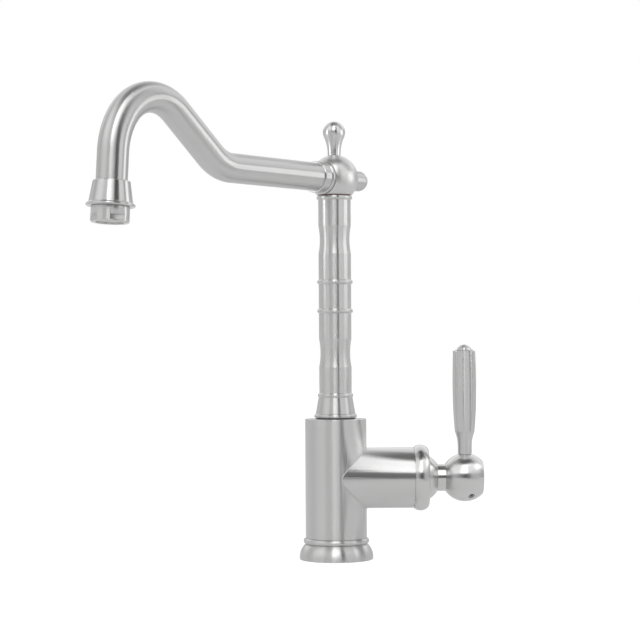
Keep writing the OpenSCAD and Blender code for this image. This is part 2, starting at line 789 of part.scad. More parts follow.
module grub_screw() {
    start = adaptor_d / 2 + 2 * fit;
    socket_depth = 3;
    color("dimgray") on_hub() grub_frame() difference() {
        translate([0, 0, start]) cylinder(d = grub_d - 2 * fit, h = grub_h);
        translate([0, 0, start + grub_h - socket_depth])
            cylinder(d = hex_key / cos(30), h = socket_depth + past, $fn = 6);
    }
}

module stick_profile() {
    ring_profile(0, stem_d / 2, stem_low, crease_h);
    difference() {
        ring_profile(0, crease_r, cove_h, crease_h);
        translate([stem_d / 2 + stem_cove_r, cove_h]) circle(stem_cove_r, $fn = fine_fn);
    }
    intersection() {
        translate(barrel_lower) circle(barrel_lower_r, $fn = 2 * fine_fn);
        ring_profile(0, far, crease_h, barrel_split_h);
    }
    intersection() {
        translate(barrel_upper) circle(barrel_upper_r, $fn = 4 * fine_fn);
        ring_profile(0, far, barrel_split_h, stick_top);
    }
}

// A flute is a long curved rod that follows the barrel from the crease past the top
module flute() {
    low = asin((crease_h - widest_h) / flute_path_r);
    high = asin((stick_top + cap_h - widest_h) / flute_path_r);
    translate([flute_axis_r - flute_path_r, 0, widest_h]) rotate([90, 0, 0])
        rotate_extrude(angle = high - low, start = low, $fn = fine_fn)
            translate([flute_path_r, 0]) circle(flute_r, $fn = 96);
}

module lever_stick() {
    color("silver") on_hub() difference() {
        turned() stick_profile();
        for (k = [0 : flute_count - 1]) rotate([0, 0, (k + 0.5) * 360 / flute_count]) flute();
        translate([0, 0, stem_low - past]) cylinder(d = rod_d + 2 * fit, h = far);
    }
}

module lever_rod() {
    color("goldenrod") on_hub() translate([0, 0, rod_low])
        cylinder(d = rod_d, h = stick_top + rod_past - rod_low);
}

module lever_cap() {
    dome_h = cap_h - cap_rim_h / 2;
    dome = (pow(cap_d / 2, 2) + pow(dome_h, 2)) / (2 * dome_h);
    color("silver") on_hub() turned() difference() {
        union() {
            bead_profile(cap_rim_d / 2, cap_rim_h, stick_top);
            intersection() {
                translate([0, stick_top + cap_h - dome]) circle(dome);
                ring_profile(0, far, stick_top + cap_rim_h / 2, stick_top + far);
            }
        }
        ring_profile(0, rod_d / 2 + fit, stick_top - past, stick_top + rod_past + end_gap);
    }
}

module foot_seal() {
    seal_in = 1.4;
    color("dimgray") turned()
        ring_profile(tail_d / 2 + fit, column_foot_d / 2 - seal_in, body_top, column_low);
}

// A waist is a shallow round hollow that fills one bay
module waist_cut(low) {
    sag = (shaft_d - waist_d) / 2;
    r = (pow(bay_h / 2, 2) + pow(sag, 2)) / (2 * sag);
    translate([waist_d / 2 + r, low + bay_h / 2]) circle(r, $fn = fine_fn);
}

module column() {
    cone_low = column_low + column_foot_h;
    cone_sink = 0.8;
    cone_land = 0.4;
    cone_top_r = shaft_d / 2 + 0.4;
    color("silver") turned() difference() {
        union() {
            difference() {
                ring_profile(0, shaft_d / 2, ring0_z, column_top);
                for (bay = [1, 5]) waist_cut(ring_z(bay));
            }
            for (k = [0, 3, 4, 7]) bead_profile(ring_d / 2, ring_h, ring_z(k) - ring_h / 2);
            polygon([[0, cone_low - cone_sink], [cone_d / 2, cone_low - cone_sink],
                     [cone_d / 2, cone_low + cone_land], [cone_top_r, ring0_z], [0, ring0_z]]);
            bead_profile(column_foot_d / 2, column_foot_h, column_low);
            ring_profile(0, tail_d / 2, tail_low, column_low + past);
        }
        ring_profile(0, spigot_tail_d / 2 + fit, tail_low - past, column_top + past);
        ring_profile(0, column_bore_d / 2, tail_low - past, spigot_low - past);
    }
}

module riser_tube() {
    color("peru") turned() ring_profile(riser_d / 2 - riser_wall, riser_d / 2, riser_low, riser_top);
}

// Heights of the two seal rings on the spigot
oring_in = 2.6;
function oring_z() = [head_low + oring_in, spigot_top - oring_in];

module swivel_spigot() {
    color("goldenrod") difference() {
        turned() difference() {
            union() {
                ring_profile(0, spigot_tail_d / 2, spigot_low, column_top + past);
                ring_profile(0, spigot_r, column_top, spigot_top);
            }
            ring_profile(0, riser_d / 2 + fit, spigot_low - past, riser_top);
            ring_profile(0, spigot_bore_d / 2, riser_top - past, head_z + window_d);
            ring_profile(spigot_r - groove_depth, far, head_z - groove_w / 2, head_z + groove_w / 2);
            for (z = oring_z())
                ring_profile(spigot_r - oring_t, far, z - oring_t / 2 - fit, z + oring_t / 2 + fit);
        }
        for (turn = [0, 90]) translate([0, 0, head_z]) rotate([90, 0, turn + 45])
            cylinder(d = window_d, h = far, center = true);
    }
}

module spigot_o_rings() {
    color("dimgray") for (z = oring_z())
        turned() translate([spigot_r - oring_t / 2, z]) circle(d = oring_t);
}

module swivel_washer() {
    color("dimgray") turned()
        ring_profile(spigot_r + fit, shaft_d / 2 - 2 * fit, column_top, column_top + washer_h);
}

module ball_head() {
    color("silver") difference() {
        turned() difference() {
            intersection() {
                translate([0, head_z]) circle(head_r);
                ring_profile(0, far, head_low, finial_z);
            }
            ring_profile(0, head_bore_r, head_low - past, spigot_top + end_gap);
            ring_profile(0, chamber_d / 2, head_z - chamber_h / 2, head_z + chamber_h / 2);
            ring_profile(0, finial_stud_d / 2 + fit, finial_z - finial_stud_h - end_gap, finial_z + past);
        }
        on_spout() translate([collar_face, 0, head_z]) rotate([0, 90, 0]) cylinder(r = head_r, h = head_r);
        on_spout() translate([0, 0, head_z]) rotate([0, 90, 0]) cylinder(d = boss_d + 2 * fit, h = head_r);
        on_spout() translate([-knob_face, 0, head_z]) rotate([0, -90, 0]) cylinder(r = head_r, h = head_r);
        on_spout() translate([0, 0, head_z]) rotate([0, -90, 0])
            cylinder(d = knob_stud_d + 2 * fit, h = head_r);
    }
}

module finial() {
    bulb_r = bulb_d / 2;
    neck_r = finial_neck_d / 2;
    bulb_z = finial_z + finial_h - bulb_r;
    cove_x = neck_r + finial_cove_r;
    cove_z = bulb_z - sqrt(pow(bulb_r + finial_cove_r, 2) - pow(cove_x, 2));
    share = bulb_r / (bulb_r + finial_cove_r);
    meet = [cove_x * share, bulb_z - (bulb_z - cove_z) * share];
    color("silver") turned() {
        translate([0, bulb_z]) circle(bulb_r);
        difference() {
            polygon([[0, cove_z], [neck_r, cove_z], meet, [0, meet[1]]]);
            translate([cove_x, cove_z]) circle(finial_cove_r, $fn = fine_fn);
        }
        ring_profile(0, neck_r, finial_z, cove_z);
        ring_profile(0, finial_stud_d / 2, finial_z - finial_stud_h, cove_z);
    }
}

module rear_knob() {
    tip_gap = 0.45;
    stud_in = 0.4;
    tip = spigot_r - groove_depth + tip_gap;
    color("silver") on_spout() translate([0, 0, head_z]) rotate([0, -90, 0]) turned() {
        ring_profile(0, knob_d / 2, knob_face, knob_face + knob_h - knob_d / 2);
        intersection() {
            translate([0, knob_face + knob_h - knob_d / 2]) circle(d = knob_d);
            ring_profile(0, far, knob_face + knob_h - knob_d / 2, far);
        }
        ring_profile(0, knob_stud_d / 2, chamber_d / 2 + stud_in, knob_face);
        ring_profile(0, knob_tip_d / 2, tip, knob_face);
    }
}

module spout_collar() {
    neck_w = 0.6;
    neck_in = 0.5;
    edge = 0.9;
    boss_in = 1.1;
    boss_wall = 1;
    body_low = collar_face + collar_bead_w + neck_w;
    color("silver") on_spout() translate([0, 0, head_z]) rotate([0, 90, 0]) turned() difference() {
        union() {
            ring_profile(0, boss_d / 2, head_bore_r + boss_in, collar_face);
            bead_profile(collar_bead_d / 2, collar_bead_w, collar_face);
            ring_profile(0, collar_d / 2 - neck_in, collar_face + collar_bead_w, body_low);
            ring_profile(0, collar_d / 2, body_low, collar_end - edge);
            ring_profile(0, collar_d / 2 - edge, collar_end - edge, collar_end);
            translate([collar_d / 2 - edge, collar_end - edge]) circle(edge);
        }
        ring_profile(0, boss_d / 2 - boss_wall, 0, collar_end);
        ring_profile(0, tube_d / 2 + fit, tube_start, collar_end + past);
    }
}

// The tube's stretches, from its start to its end.
// Each one draws itself with radius r, if there is one, and hands its end on to the next.
module straight(length, r) {
    if (r > 0) rotate([0, 90, 0]) cylinder(r = r, h = length);
    translate([length, 0, 0]) children();
}

module bend(path_r, angle, side, r) {
    start = side > 0 ? -90 : 90 - angle;
    if (r > 0) translate([0, 0, side * path_r]) rotate([90, 0, 0])
        rotate_extrude(angle = angle, start = start) translate([path_r, 0]) circle(r);
    translate([path_r * sin(angle), 0, side * path_r * (1 - cos(angle))])
        rotate([0, -side * angle, 0]) children();
}

module swan_neck(r, more) {
    on_spout() translate([tube_start - more, 0, head_z])
        straight(run_end - tube_start + more, r) bend(rise_r, rise_angle, 1, r)
        straight(rise_len, r) bend(arch_r, arch_angle, -1, r)
        bend(drop_r, drop_angle, -1, r) straight(drop_len + more, r)
        translate([-more, 0, 0]) rotate([0, 90, 0]) children();
}

module spout_tube() {
    color("silver") difference() {
        swan_neck(tube_d / 2, 0);
        swan_neck(tube_d / 2 - tube_wall, past);
    }
}

// Frame of the outlet: the origin is the tube's end and Z runs on along the flow
module on_outlet() { swan_neck(0, 0) children(); }

module outlet_sleeve() {
    color("silver") on_outlet() turned() difference() {
        union() {
            ring_profile(0, sleeve_top_d / 2 - sleeve_round, -sleeve_seat, 0);
            translate([sleeve_top_d / 2 - sleeve_round, sleeve_round - sleeve_seat]) circle(sleeve_round);
            polygon([[0, sleeve_round - sleeve_seat], [sleeve_top_d / 2, sleeve_round - sleeve_seat],
                     [sleeve_low_d / 2, sleeve_low], [0, sleeve_low]]);
            difference() {
                ring_profile(0, sleeve_low_d / 2 + lip_rise, sleeve_low, sleeve_low + lip_rise);
                translate([sleeve_low_d / 2 + lip_rise, sleeve_low]) circle(lip_rise);
            }
            bead_profile(lip_d / 2, lip_h, sleeve_low + lip_rise);
        }
        ring_profile(0, tube_d / 2 + fit, -sleeve_seat - past, 0);
        ring_profile(0, tube_d / 2 - tube_wall, -past, lip_low + past);
        ring_profile(0, aerator_thread_d / 2 + fit, rib_low, lip_low + past);
    }
}

module aerator_gasket() {
    color("dimgray") on_outlet() turned()
        ring_profile(tube_d / 2 - tube_wall, aerator_thread_d / 2 - fit, rib_low, thread_top);
}

module aerator_housing() {
    r = aerator_d / 2;
    flat_r = sqrt(pow(r, 2) - pow(flat_w / 2, 2));
    flat_in = 1.2;
    edge = 1;
    flat_low = aerator_low - flat_in - flat_h;
    color("silver") on_outlet() difference() {
        turned() difference() {
            union() {
                ring_profile(0, aerator_thread_d / 2, thread_top, aerator_top + past);
                ring_profile(0, r, aerator_top, aerator_low - edge);
                ring_profile(0, r - edge, aerator_low - edge, aerator_low);
                translate([r - edge, aerator_low - edge]) circle(edge);
            }
            ring_profile(0, insert_d / 2 + fit, thread_top - past, insert_low);
            ring_profile(0, insert_d / 2 - rim_w, insert_low - past, aerator_low + past);
        }
        for (k = [0 : flat_count - 1]) rotate([0, 0, flat_turn + k * 360 / flat_count])
            translate([flat_r, -r, flat_low]) cube([r, 2 * r, flat_h]);
    }
}

// Holes in hexagonal rings round the middle
module aerator_insert() {
    color("whitesmoke") on_outlet() difference() {
        translate([0, 0, thread_top + insert_in])
            cylinder(d = insert_d, h = insert_low - thread_top - insert_in);
        for (i = [-insert_rings : insert_rings], j = [-insert_rings : insert_rings])
            if (abs(i + j) <= insert_rings)
                translate([insert_pitch * (i + j / 2), insert_pitch * j * sin(60), thread_top])
                    cylinder(d = insert_hole_d, h = insert_low);
    }
}

base_flange();
base_gasket();
body_shell();
valve_core();
cartridge_cup();
cup_screws();
port_seals();
cartridge_seals();
cartridge_base();
cartridge_housing();
fixed_disc();
moving_disc();
disc_holder();
turret();
pivot_pin();
cartridge_nut();
bead_ring();
spindle();
spindle_adaptor();
lever_hub();
grub_screw();
lever_stick();
lever_rod();
lever_cap();
foot_seal();
column();
riser_tube();
swivel_spigot();
spigot_o_rings();
swivel_washer();
ball_head();
finial();
rear_knob();
spout_collar();
spout_tube();
outlet_sleeve();
aerator_housing();
aerator_gasket();
aerator_insert();
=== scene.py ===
# %% [markdown]
# # A brushed steel kitchen tap
# This lesson dresses a finished mechanical model of a single lever mixer tap. The model already holds
# every part at its true size, in metres, with its hinges and its slide. Here each part gets its finish,
# and the parts that the eye rests on are turned, bent and cut again with softer edges and finer seams
# than the mechanical model has.

# %% Load the mechanical model, with helpers that measure, attach and replace its parts
import bmesh
import bpy
import json
import math
from mathutils import Matrix, Vector

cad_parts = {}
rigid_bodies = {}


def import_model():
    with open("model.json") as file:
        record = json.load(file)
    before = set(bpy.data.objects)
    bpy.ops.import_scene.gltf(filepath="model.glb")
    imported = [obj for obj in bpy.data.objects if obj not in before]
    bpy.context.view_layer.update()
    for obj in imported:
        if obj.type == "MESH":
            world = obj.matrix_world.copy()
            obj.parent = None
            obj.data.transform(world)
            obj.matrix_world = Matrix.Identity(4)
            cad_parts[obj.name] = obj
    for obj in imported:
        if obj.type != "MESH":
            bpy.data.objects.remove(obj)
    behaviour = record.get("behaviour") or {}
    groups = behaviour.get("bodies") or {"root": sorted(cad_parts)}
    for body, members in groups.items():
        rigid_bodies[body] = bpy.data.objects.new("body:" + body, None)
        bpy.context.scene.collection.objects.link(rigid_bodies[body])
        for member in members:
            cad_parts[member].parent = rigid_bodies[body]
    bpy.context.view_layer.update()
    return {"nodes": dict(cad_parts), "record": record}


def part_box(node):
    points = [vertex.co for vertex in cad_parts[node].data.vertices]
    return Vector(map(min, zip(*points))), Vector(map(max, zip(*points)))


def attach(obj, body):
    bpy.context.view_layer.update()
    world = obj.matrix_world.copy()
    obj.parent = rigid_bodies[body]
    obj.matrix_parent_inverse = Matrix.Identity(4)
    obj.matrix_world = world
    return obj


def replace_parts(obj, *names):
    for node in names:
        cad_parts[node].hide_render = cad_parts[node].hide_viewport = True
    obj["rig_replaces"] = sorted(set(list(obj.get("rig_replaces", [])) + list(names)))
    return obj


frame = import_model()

# %% [markdown]
# ## The camera
# A product picture of something tall is taken from well back with a long lens, so that upright lines
# stay upright. The lens here is 104 mm on a 36 mm sensor, and the camera stands almost one and a half
# metres in front of the tap, about ten centimetres above the level of the side branch. It looks up by
# less than one degree, and it is tilted by a third of a degree, as a hand-set tripod often is.

# %% Place the camera
def add_camera(place, turn, lift, roll, lens):
    data = bpy.data.cameras.new("front_camera")
    data.lens = lens
    data.sensor_width = 36
    camera = bpy.data.objects.new("front_camera", data)
    bpy.context.scene.collection.objects.link(camera)
    aim = Matrix.Rotation(math.radians(turn), 4, "Z") @ Matrix.Rotation(math.radians(90 + lift), 4, "X")
    camera.matrix_world = Matrix.Translation(place) @ aim @ Matrix.Rotation(math.radians(roll), 4, "Z")
    bpy.context.scene.camera = camera
    return camera


camera = add_camera(place=(-0.0373, -1.4556, 0.1681), turn=-1.0, lift=0.774, roll=-0.334, lens=104.06)
print("camera at", tuple(round(v, 3) for v in camera.location), "lens", camera.data.lens)

# %% [markdown]
# ## The studio
# Polished and brushed metal shows hardly any colour of its own. What is seen is the room, drawn out into
# long bands. So the studio is built first, as a sky that the metal reflects: pale walls all round with a
# darker stretch at each side, a dark ceiling, and a large soft box high in front that is brightest at
# its left edge. Below the soft box the room is dark. The areas are given by their direction, as azimuth
# from the camera's side and height above the horizon, and a later area covers an earlier one. To the
# camera itself the background is plain white.

# %% Small helpers for shader nodes
def add_node(tree, kind, place, **settings):
    node = tree.nodes.new(kind)
    node.location = place
    for name, value in settings.items():
        setattr(node, name, value)
    return node


def math_node(tree, operation, first, second=None, place=(0, 0)):
    node = add_node(tree, "ShaderNodeMath", place, operation=operation)
    for socket, value in zip(node.inputs, (first, second)):
        if isinstance(value, bpy.types.NodeSocket):
            tree.links.new(value, socket)
        elif value is not None:
            socket.default_value = value
    return node.outputs[0]


def ease(tree, value, start, end, low=0.0, high=1.0, place=(0, 0)):
    node = add_node(tree, "ShaderNodeMapRange", place, interpolation_type="SMOOTHSTEP")
    tree.links.new(value, node.inputs["Value"])
    for name, number in (("From Min", start), ("From Max", end), ("To Min", low), ("To Max", high)):
        node.inputs[name].default_value = number
    return node.outputs["Result"]


def window(tree, value, low, high, soft, place):
    rise = ease(tree, value, low - soft, low + soft, place=place)
    fall = ease(tree, value, high - soft, high + soft, 1.0, 0.0, place=(place[0], place[1] - 260))
    return math_node(tree, "MULTIPLY", rise, fall, (place[0] + 200, place[1]))


# %% The sky that the metal reflects
SKY_LIGHT = 0.58
SKY_AREAS = (
    # name, azimuth from, to, its softness, height from, to, its softness, light
    ("upper_wall", -200, 250, 1, 0.30, 0.66, 0.04, 1.10),
    ("top_wall", -200, 250, 1, 0.64, 0.91, 0.03, 0.90),
    ("left_glow", -84, -50, 8, 0.30, 0.91, 0.04, 1.22),
    ("left_dark", -126, -92, 8, -0.12, 0.91, 0.04, 0.60),
    ("right_dark", 78, 108, 8, -0.12, 0.91, 0.04, 0.45),
    ("ceiling", -200, 250, 1, 0.90, 1.10, 0.02, 0.08),
    ("low_front", -40, 62, 5, -1.00, 0.36, 0.03, 0.38),
    ("front_box", -18, 62, 1.5, 0.37, 0.91, 0.03, 3.30),
    ("box_middle", -2, 62, 4, 0.37, 0.91, 0.03, 2.65),
    ("box_right", 8, 62, 4, 0.37, 0.91, 0.03, 1.95),
    ("box_end", 17, 62, 4, 0.37, 0.91, 0.03, 1.15),
    ("front_gap", -18, 40, 1.5, -1.00, 0.37, 0.03, 0.00),
)


def build_sky():
    world = bpy.data.worlds.new("studio")
    bpy.context.scene.world = world
    world.use_nodes = True
    tree = world.node_tree
    tree.nodes.clear()
    coordinates = add_node(tree, "ShaderNodeTexCoord", (-1800, 0))
    split = add_node(tree, "ShaderNodeSeparateXYZ", (-1600, 0))
    tree.links.new(coordinates.outputs["Generated"], split.inputs[0])
    x, y, height = split.outputs
    away = math_node(tree, "MULTIPLY", y, -1.0, (-1450, 100))
    angle = math_node(tree, "ARCTAN2", x, away, (-1300, 100))
    azimuth = math_node(tree, "MULTIPLY", angle, 180 / math.pi, (-1150, 100))
    behind = math_node(tree, "LESS_THAN", azimuth, -122.0, (-1150, -100))
    turn = math_node(tree, "MULTIPLY", behind, 360.0, (-1000, -100))
    round_azimuth = math_node(tree, "ADD", azimuth, turn, (-850, -100))
    light = None
    for step, (name, a0, a1, a_soft, h0, h1, h_soft, strength) in enumerate(SKY_AREAS):
        at = (-600 + 60 * step, 600 - 400 * step)
        angle_value = round_azimuth if a1 > 180 else azimuth
        across = window(tree, angle_value, a0, a1, a_soft, at)
        upright = window(tree, height, h0, h1, h_soft, (at[0] + 250, at[1]))
        share = math_node(tree, "MULTIPLY", across, upright, (at[0] + 500, at[1]))
        mix = add_node(tree, "ShaderNodeMix", (at[0] + 700, at[1]), data_type="FLOAT", label=name)
        tree.links.new(share, mix.inputs["Factor"])
        mix.inputs["A"].default_value = SKY_LIGHT
        mix.inputs["B"].default_value = strength
        if light:
            tree.links.new(light, mix.inputs["A"])
        light = mix.outputs["Result"]
    path = add_node(tree, "ShaderNodeLightPath", (800, 500))
    sky = add_node(tree, "ShaderNodeBackground", (800, 0))
    tree.links.new(light, sky.inputs["Strength"])
    white = add_node(tree, "ShaderNodeBackground", (800, -200))
    choose = add_node(tree, "ShaderNodeMixShader", (1100, 0))
    tree.links.new(path.outputs["Is Camera Ray"], choose.inputs["Fac"])
    tree.links.new(sky.outputs[0], choose.inputs[1])
    tree.links.new(white.outputs[0], choose.inputs[2])
    white.inputs["Color"].default_value = (1, 1, 1, 1)
    sky.inputs["Color"].default_value = (1, 1, 1, 1)
    output = add_node(tree, "ShaderNodeOutputWorld", (1350, 0))
    tree.links.new(choose.outputs[0], output.inputs["Surface"])
    print("sky with", len(SKY_AREAS), "areas")


build_sky()

# %% [markdown]
# ## Two small soft boxes and two cards
# A sky is infinitely far away, so it gives a tall column the same bands from foot to head. In a real
# studio the soft boxes at the two sides stand close by, and their bright stripes show only on the
# upper half of the column. So these two are real lamps, an arm's length from the tap. In front hangs a
# dark card, which photographers call a flag. It draws the dark stripe that tells the eye that a tube is
# round. A white card stands nearer than the flag and covers its right end. The card's edge ends the dark
# stripe, and because it is so near, it does so in another place on the body than on the thin column.
# Both cards are there for reflections only.

# %% Hang the side lamps and the two cards
def add_side_lamp(name, place, target, wide, tall, light, beam=180):
    data = bpy.data.lights.new(name, "AREA")
    data.shape = "RECTANGLE"
    data.size = wide
    data.size_y = tall
    data.energy = light * math.pi * wide * tall
    data.spread = math.radians(beam)
    lamp = bpy.data.objects.new(name, data)
    bpy.context.scene.collection.objects.link(lamp)
    lamp.location = place
    lamp.rotation_euler = (Vector(target) - Vector(place)).to_track_quat("-Z", "Y").to_euler()
    lamp.visible_camera = False
    return lamp


left_lamp = add_side_lamp("left_lamp", (-0.41, 0.01, 0.36), (0, 0.10, 0.36), 0.28, 0.22, 0.16, beam=40)
right_lamp = add_side_lamp("right_lamp", (0.42, -0.03, 0.36), (0, 0, 0.36), 0.24, 0.22, 1.35)


def add_card(name, place, turn, wide, tall, dark, bright):
    bpy.ops.object.select_all(action="DESELECT")
    bpy.ops.mesh.primitive_plane_add(size=1, location=place)
    card = bpy.context.object
    card.name = name
    card.scale = (wide, tall, 1)
    card.rotation_euler = (math.radians(90), 0, math.radians(turn))
    bpy.ops.object.transform_apply(location=True, rotation=True, scale=True)
    material = bpy.data.materials.new(name + "_paper")
    material.use_nodes = True
    tree = material.node_tree
    tree.nodes.clear()
    coordinates = add_node(tree, "ShaderNodeTexCoord", (-700, 0))
    split = add_node(tree, "ShaderNodeSeparateXYZ", (-500, 0))
    tree.links.new(coordinates.outputs["Object"], split.inputs[0])
    paper = add_node(tree, "ShaderNodeEmission", (0, 0))
    shade = ease(tree, split.outputs[2], 0.15, 0.45, dark, bright, (-250, 0))
    tree.links.new(shade, paper.inputs["Strength"])
    output = add_node(tree, "ShaderNodeOutputMaterial", (200, 0))
    tree.links.new(paper.outputs[0], output.inputs["Surface"])
    card.data.materials.append(material)
    card.visible_camera = card.visible_shadow = card.visible_diffuse = False
    return card


flag = add_card("dark_flag", (0.548, -0.969, 0.4), 29.5, 0.576, 2.6, 0.0, 0.0)
white_card = add_card("white_card", (0.438, -0.398, 0.5), 38.3, 0.413, 1.0, 0.62, 1.05)
print("lamps:", left_lamp.name, right_lamp.name, "cards:", flag.name, white_card.name)

# %% [markdown]
# ## The floor
# The tap stands on a plain white table. A real photographer lights the table until it is nearly as white
# as the background, so only a faint shadow is left under the foot. The floor does the same: for the
# camera it is mostly its own white, and a small share of it takes the light and the shadow.

# %% A white floor with a faint shadow
def add_floor():
    bpy.ops.object.select_all(action="DESELECT")
    bpy.ops.mesh.primitive_plane_add(size=12, location=(0, 0, -0.0002))
    floor = bpy.context.object
    floor.name = "table_top"
    bpy.ops.object.transform_apply(location=True, rotation=True, scale=True)
    material = bpy.data.materials.new("white_table")
    material.use_nodes = True
    tree = material.node_tree
    tree.nodes.clear()
    paper = add_node(tree, "ShaderNodeBsdfDiffuse", (-300, 100))
    paper.inputs["Color"].default_value = (0.9, 0.9, 0.9, 1)
    glow = add_node(tree, "ShaderNodeEmission", (-300, -100))
    path = add_node(tree, "ShaderNodeLightPath", (-500, 300))
    seen = math_node(tree, "MULTIPLY", path.outputs["Is Camera Ray"], 0.90, (-400, 300))
    mirrored = math_node(tree, "MULTIPLY", path.outputs["Is Glossy Ray"], 0.30, (-400, 450))
    share = math_node(tree, "ADD", seen, mirrored, (-200, 300))
    mix = add_node(tree, "ShaderNodeMixShader", (0, 0))
    tree.links.new(share, mix.inputs["Fac"])
    tree.links.new(paper.outputs[0], mix.inputs[1])
    tree.links.new(glow.outputs[0], mix.inputs[2])
    glow.inputs["Color"].default_value = (1, 1, 1, 1)
    extra = math_node(tree, "MULTIPLY", path.outputs["Is Camera Ray"], 0.47, (-500, -100))
    tree.links.new(math_node(tree, "ADD", extra, 0.65, (-400, -250)), glow.inputs["Strength"])
    output = add_node(tree, "ShaderNodeOutputMaterial", (250, 0))
    tree.links.new(mix.outputs[0], output.inputs["Surface"])
    floor.data.materials.append(material)
    return floor


floor = add_floor()
scene = bpy.context.scene
scene.view_settings.view_transform = "Standard"
print("floor", floor.name, "view", scene.view_settings.view_transform)

# %% [markdown]
# ## Brushed steel
# Each outer part was turned on a lathe and brushed while it spun, so its fine scratches run round it. A
# scratch spreads the light across itself and leaves it sharp along itself. That is why an upright part
# shows upright bands with crisp sides. In the shader the highlight is stretched along the part's own
# axis, and faint rings of noise round that axis vary the roughness and the height of the surface. A
# second, slow noise stands for the cloudiness that a polishing wheel leaves.

# %% Coordinates that follow a turned part
def turned_coordinates(tree, axis, centre):
    coordinates = add_node(tree, "ShaderNodeTexCoord", (-1400, 0))
    local = add_node(tree, "ShaderNodeMapping", (-1200, 0), vector_type="TEXTURE")
    local.inputs["Location"].default_value = centre
    upright_to_axis = Vector((0, 0, 1)).rotation_difference(Vector(axis))
    local.inputs["Rotation"].default_value = upright_to_axis.to_euler()
    tree.links.new(coordinates.outputs["Object"], local.inputs["Vector"])
    split = add_node(tree, "ShaderNodeSeparateXYZ", (-1000, 0))
    tree.links.new(local.outputs[0], split.inputs[0])
    x, y, along = split.outputs
    angle = math_node(tree, "ARCTAN2", y, x, (-800, 200))
    squares = math_node(tree, "ADD", math_node(tree, "MULTIPLY", x, x, (-800, 0)),
                        math_node(tree, "MULTIPLY", y, y, (-800, -150)), (-600, -50))
    radius = math_node(tree, "SQRT", squares, None, (-450, -50))
    rings = add_node(tree, "ShaderNodeCombineXYZ", (-250, 100))
    tree.links.new(math_node(tree, "MULTIPLY", angle, 0.001, (-600, 200)), rings.inputs[0])
    tree.links.new(along, rings.inputs[1])
    tree.links.new(radius, rings.inputs[2])
    return coordinates.outputs["Object"], rings.outputs[0]


def noise_node(tree, vector, scale, detail, place):
    noise = add_node(tree, "ShaderNodeTexNoise", place)
    noise.inputs["Scale"].default_value = scale
    noise.inputs["Detail"].default_value = detail
    tree.links.new(vector, noise.inputs["Vector"])
    return noise.outputs[0]


# %% Metal that was brushed while it spun
def brushed(name, axis=(0, 0, 1), centre=(0, 0, 0), rough=0.30, stretch=1.0, tint=(0.66, 0.66, 0.657),
            bend_axis=None, relief=0.01):
    material = bpy.data.materials.new(name)
    material.use_nodes = True
    tree = material.node_tree
    surface = tree.nodes["Principled BSDF"]
    surface.inputs["Metallic"].default_value = 1.0
    surface.inputs["Anisotropic"].default_value = stretch
    place, rings = turned_coordinates(tree, axis, centre)
    scratches = noise_node(tree, place if bend_axis else rings, 1500, 2, (-50, 200))
    clouds = noise_node(tree, place, 60, 2, (-50, -50))
    tree.links.new(ease(tree, scratches, 0.3, 0.7, rough - 0.008, rough + 0.008, (150, 0)),
                   surface.inputs["Roughness"])
    colour = add_node(tree, "ShaderNodeMix", (150, 300), data_type="RGBA")
    colour.inputs["A"].default_value = (*[0.985 * part for part in tint], 1)
    colour.inputs["B"].default_value = (*[1.015 * part for part in tint], 1)
    tree.links.new(clouds, colour.inputs["Factor"])
    tree.links.new(colour.outputs["Result"], surface.inputs["Base Color"])
    bump = add_node(tree, "ShaderNodeBump", (150, -300))
    bump.inputs["Strength"].default_value = relief
    bump.inputs["Distance"].default_value = 0.00002
    tree.links.new(scratches, bump.inputs["Height"])
    tree.links.new(bump.outputs[0], surface.inputs["Normal"])
    along = add_node(tree, "ShaderNodeVectorTransform", (-300, -600), vector_type="VECTOR",
                     convert_from="OBJECT", convert_to="WORLD")
    along.inputs[0].default_value = bend_axis or axis
    tangent = along.outputs[0]
    if bend_axis:
        geometry = add_node(tree, "ShaderNodeNewGeometry", (-300, -800))
        cross = add_node(tree, "ShaderNodeVectorMath", (-100, -700), operation="CROSS_PRODUCT")
        tree.links.new(tangent, cross.inputs[0])
        tree.links.new(geometry.outputs["Normal"], cross.inputs[1])
        tangent = cross.outputs[0]
    tree.links.new(tangent, surface.inputs["Tangent"])
    return material


SPOUT_TURN = 230
spout_angle = math.radians(SPOUT_TURN)
spout_out = (math.cos(spout_angle), math.sin(spout_angle), 0)
spout_side = (-math.sin(spout_angle), math.cos(spout_angle), 0)
head_middle = (0, 0, 0.2989)
hub_middle = (0.1015, 0, 0.0634)
upright_steel = brushed("upright_steel")
level_steel = brushed("level_steel", axis=(1, 0, 0), centre=(0, 0, 0.0634), rough=0.29)
hub_steel = brushed("hub_steel", axis=(1, 0, 0), centre=(0, 0, 0.0634), rough=0.26, stretch=0.8)
handle_steel = brushed("handle_steel", centre=hub_middle, rough=0.29)
spout_steel = brushed("spout_steel", axis=spout_out, centre=head_middle)
tube_steel = brushed("tube_steel", bend_axis=spout_side, rough=0.29)
ball_steel = brushed("ball_steel", rough=0.36, stretch=0.25)
finial_steel = brushed("finial_steel", rough=0.26, stretch=0.8)
print("steels:", [m.name for m in bpy.data.materials if m.name.endswith("_steel")])

# %% [markdown]
# ## How a turned part is made
# A lathe turns a bar of metal, and the tool follows half of the part's outline. The same is done here:
# one vertex is extruded along the outline, round places are drawn by spinning that vertex about the
# middle of the curve, small corners are bevelled, and then the whole line is spun once round the axis.
# All of these lengths are in millimetres, because that is how a drawing of the part gives them.

# %% Draw half of an outline in edit mode
MM = 0.001
BODY_RADIUS = 24.1
BRANCH_RADIUS = 23.75
BRANCH_PLACE = (0, 0, 63.4)
BALL_PLACE = (101.5, 0, 63.4)
HEAD_PLACE = (0, 0, 298.9)


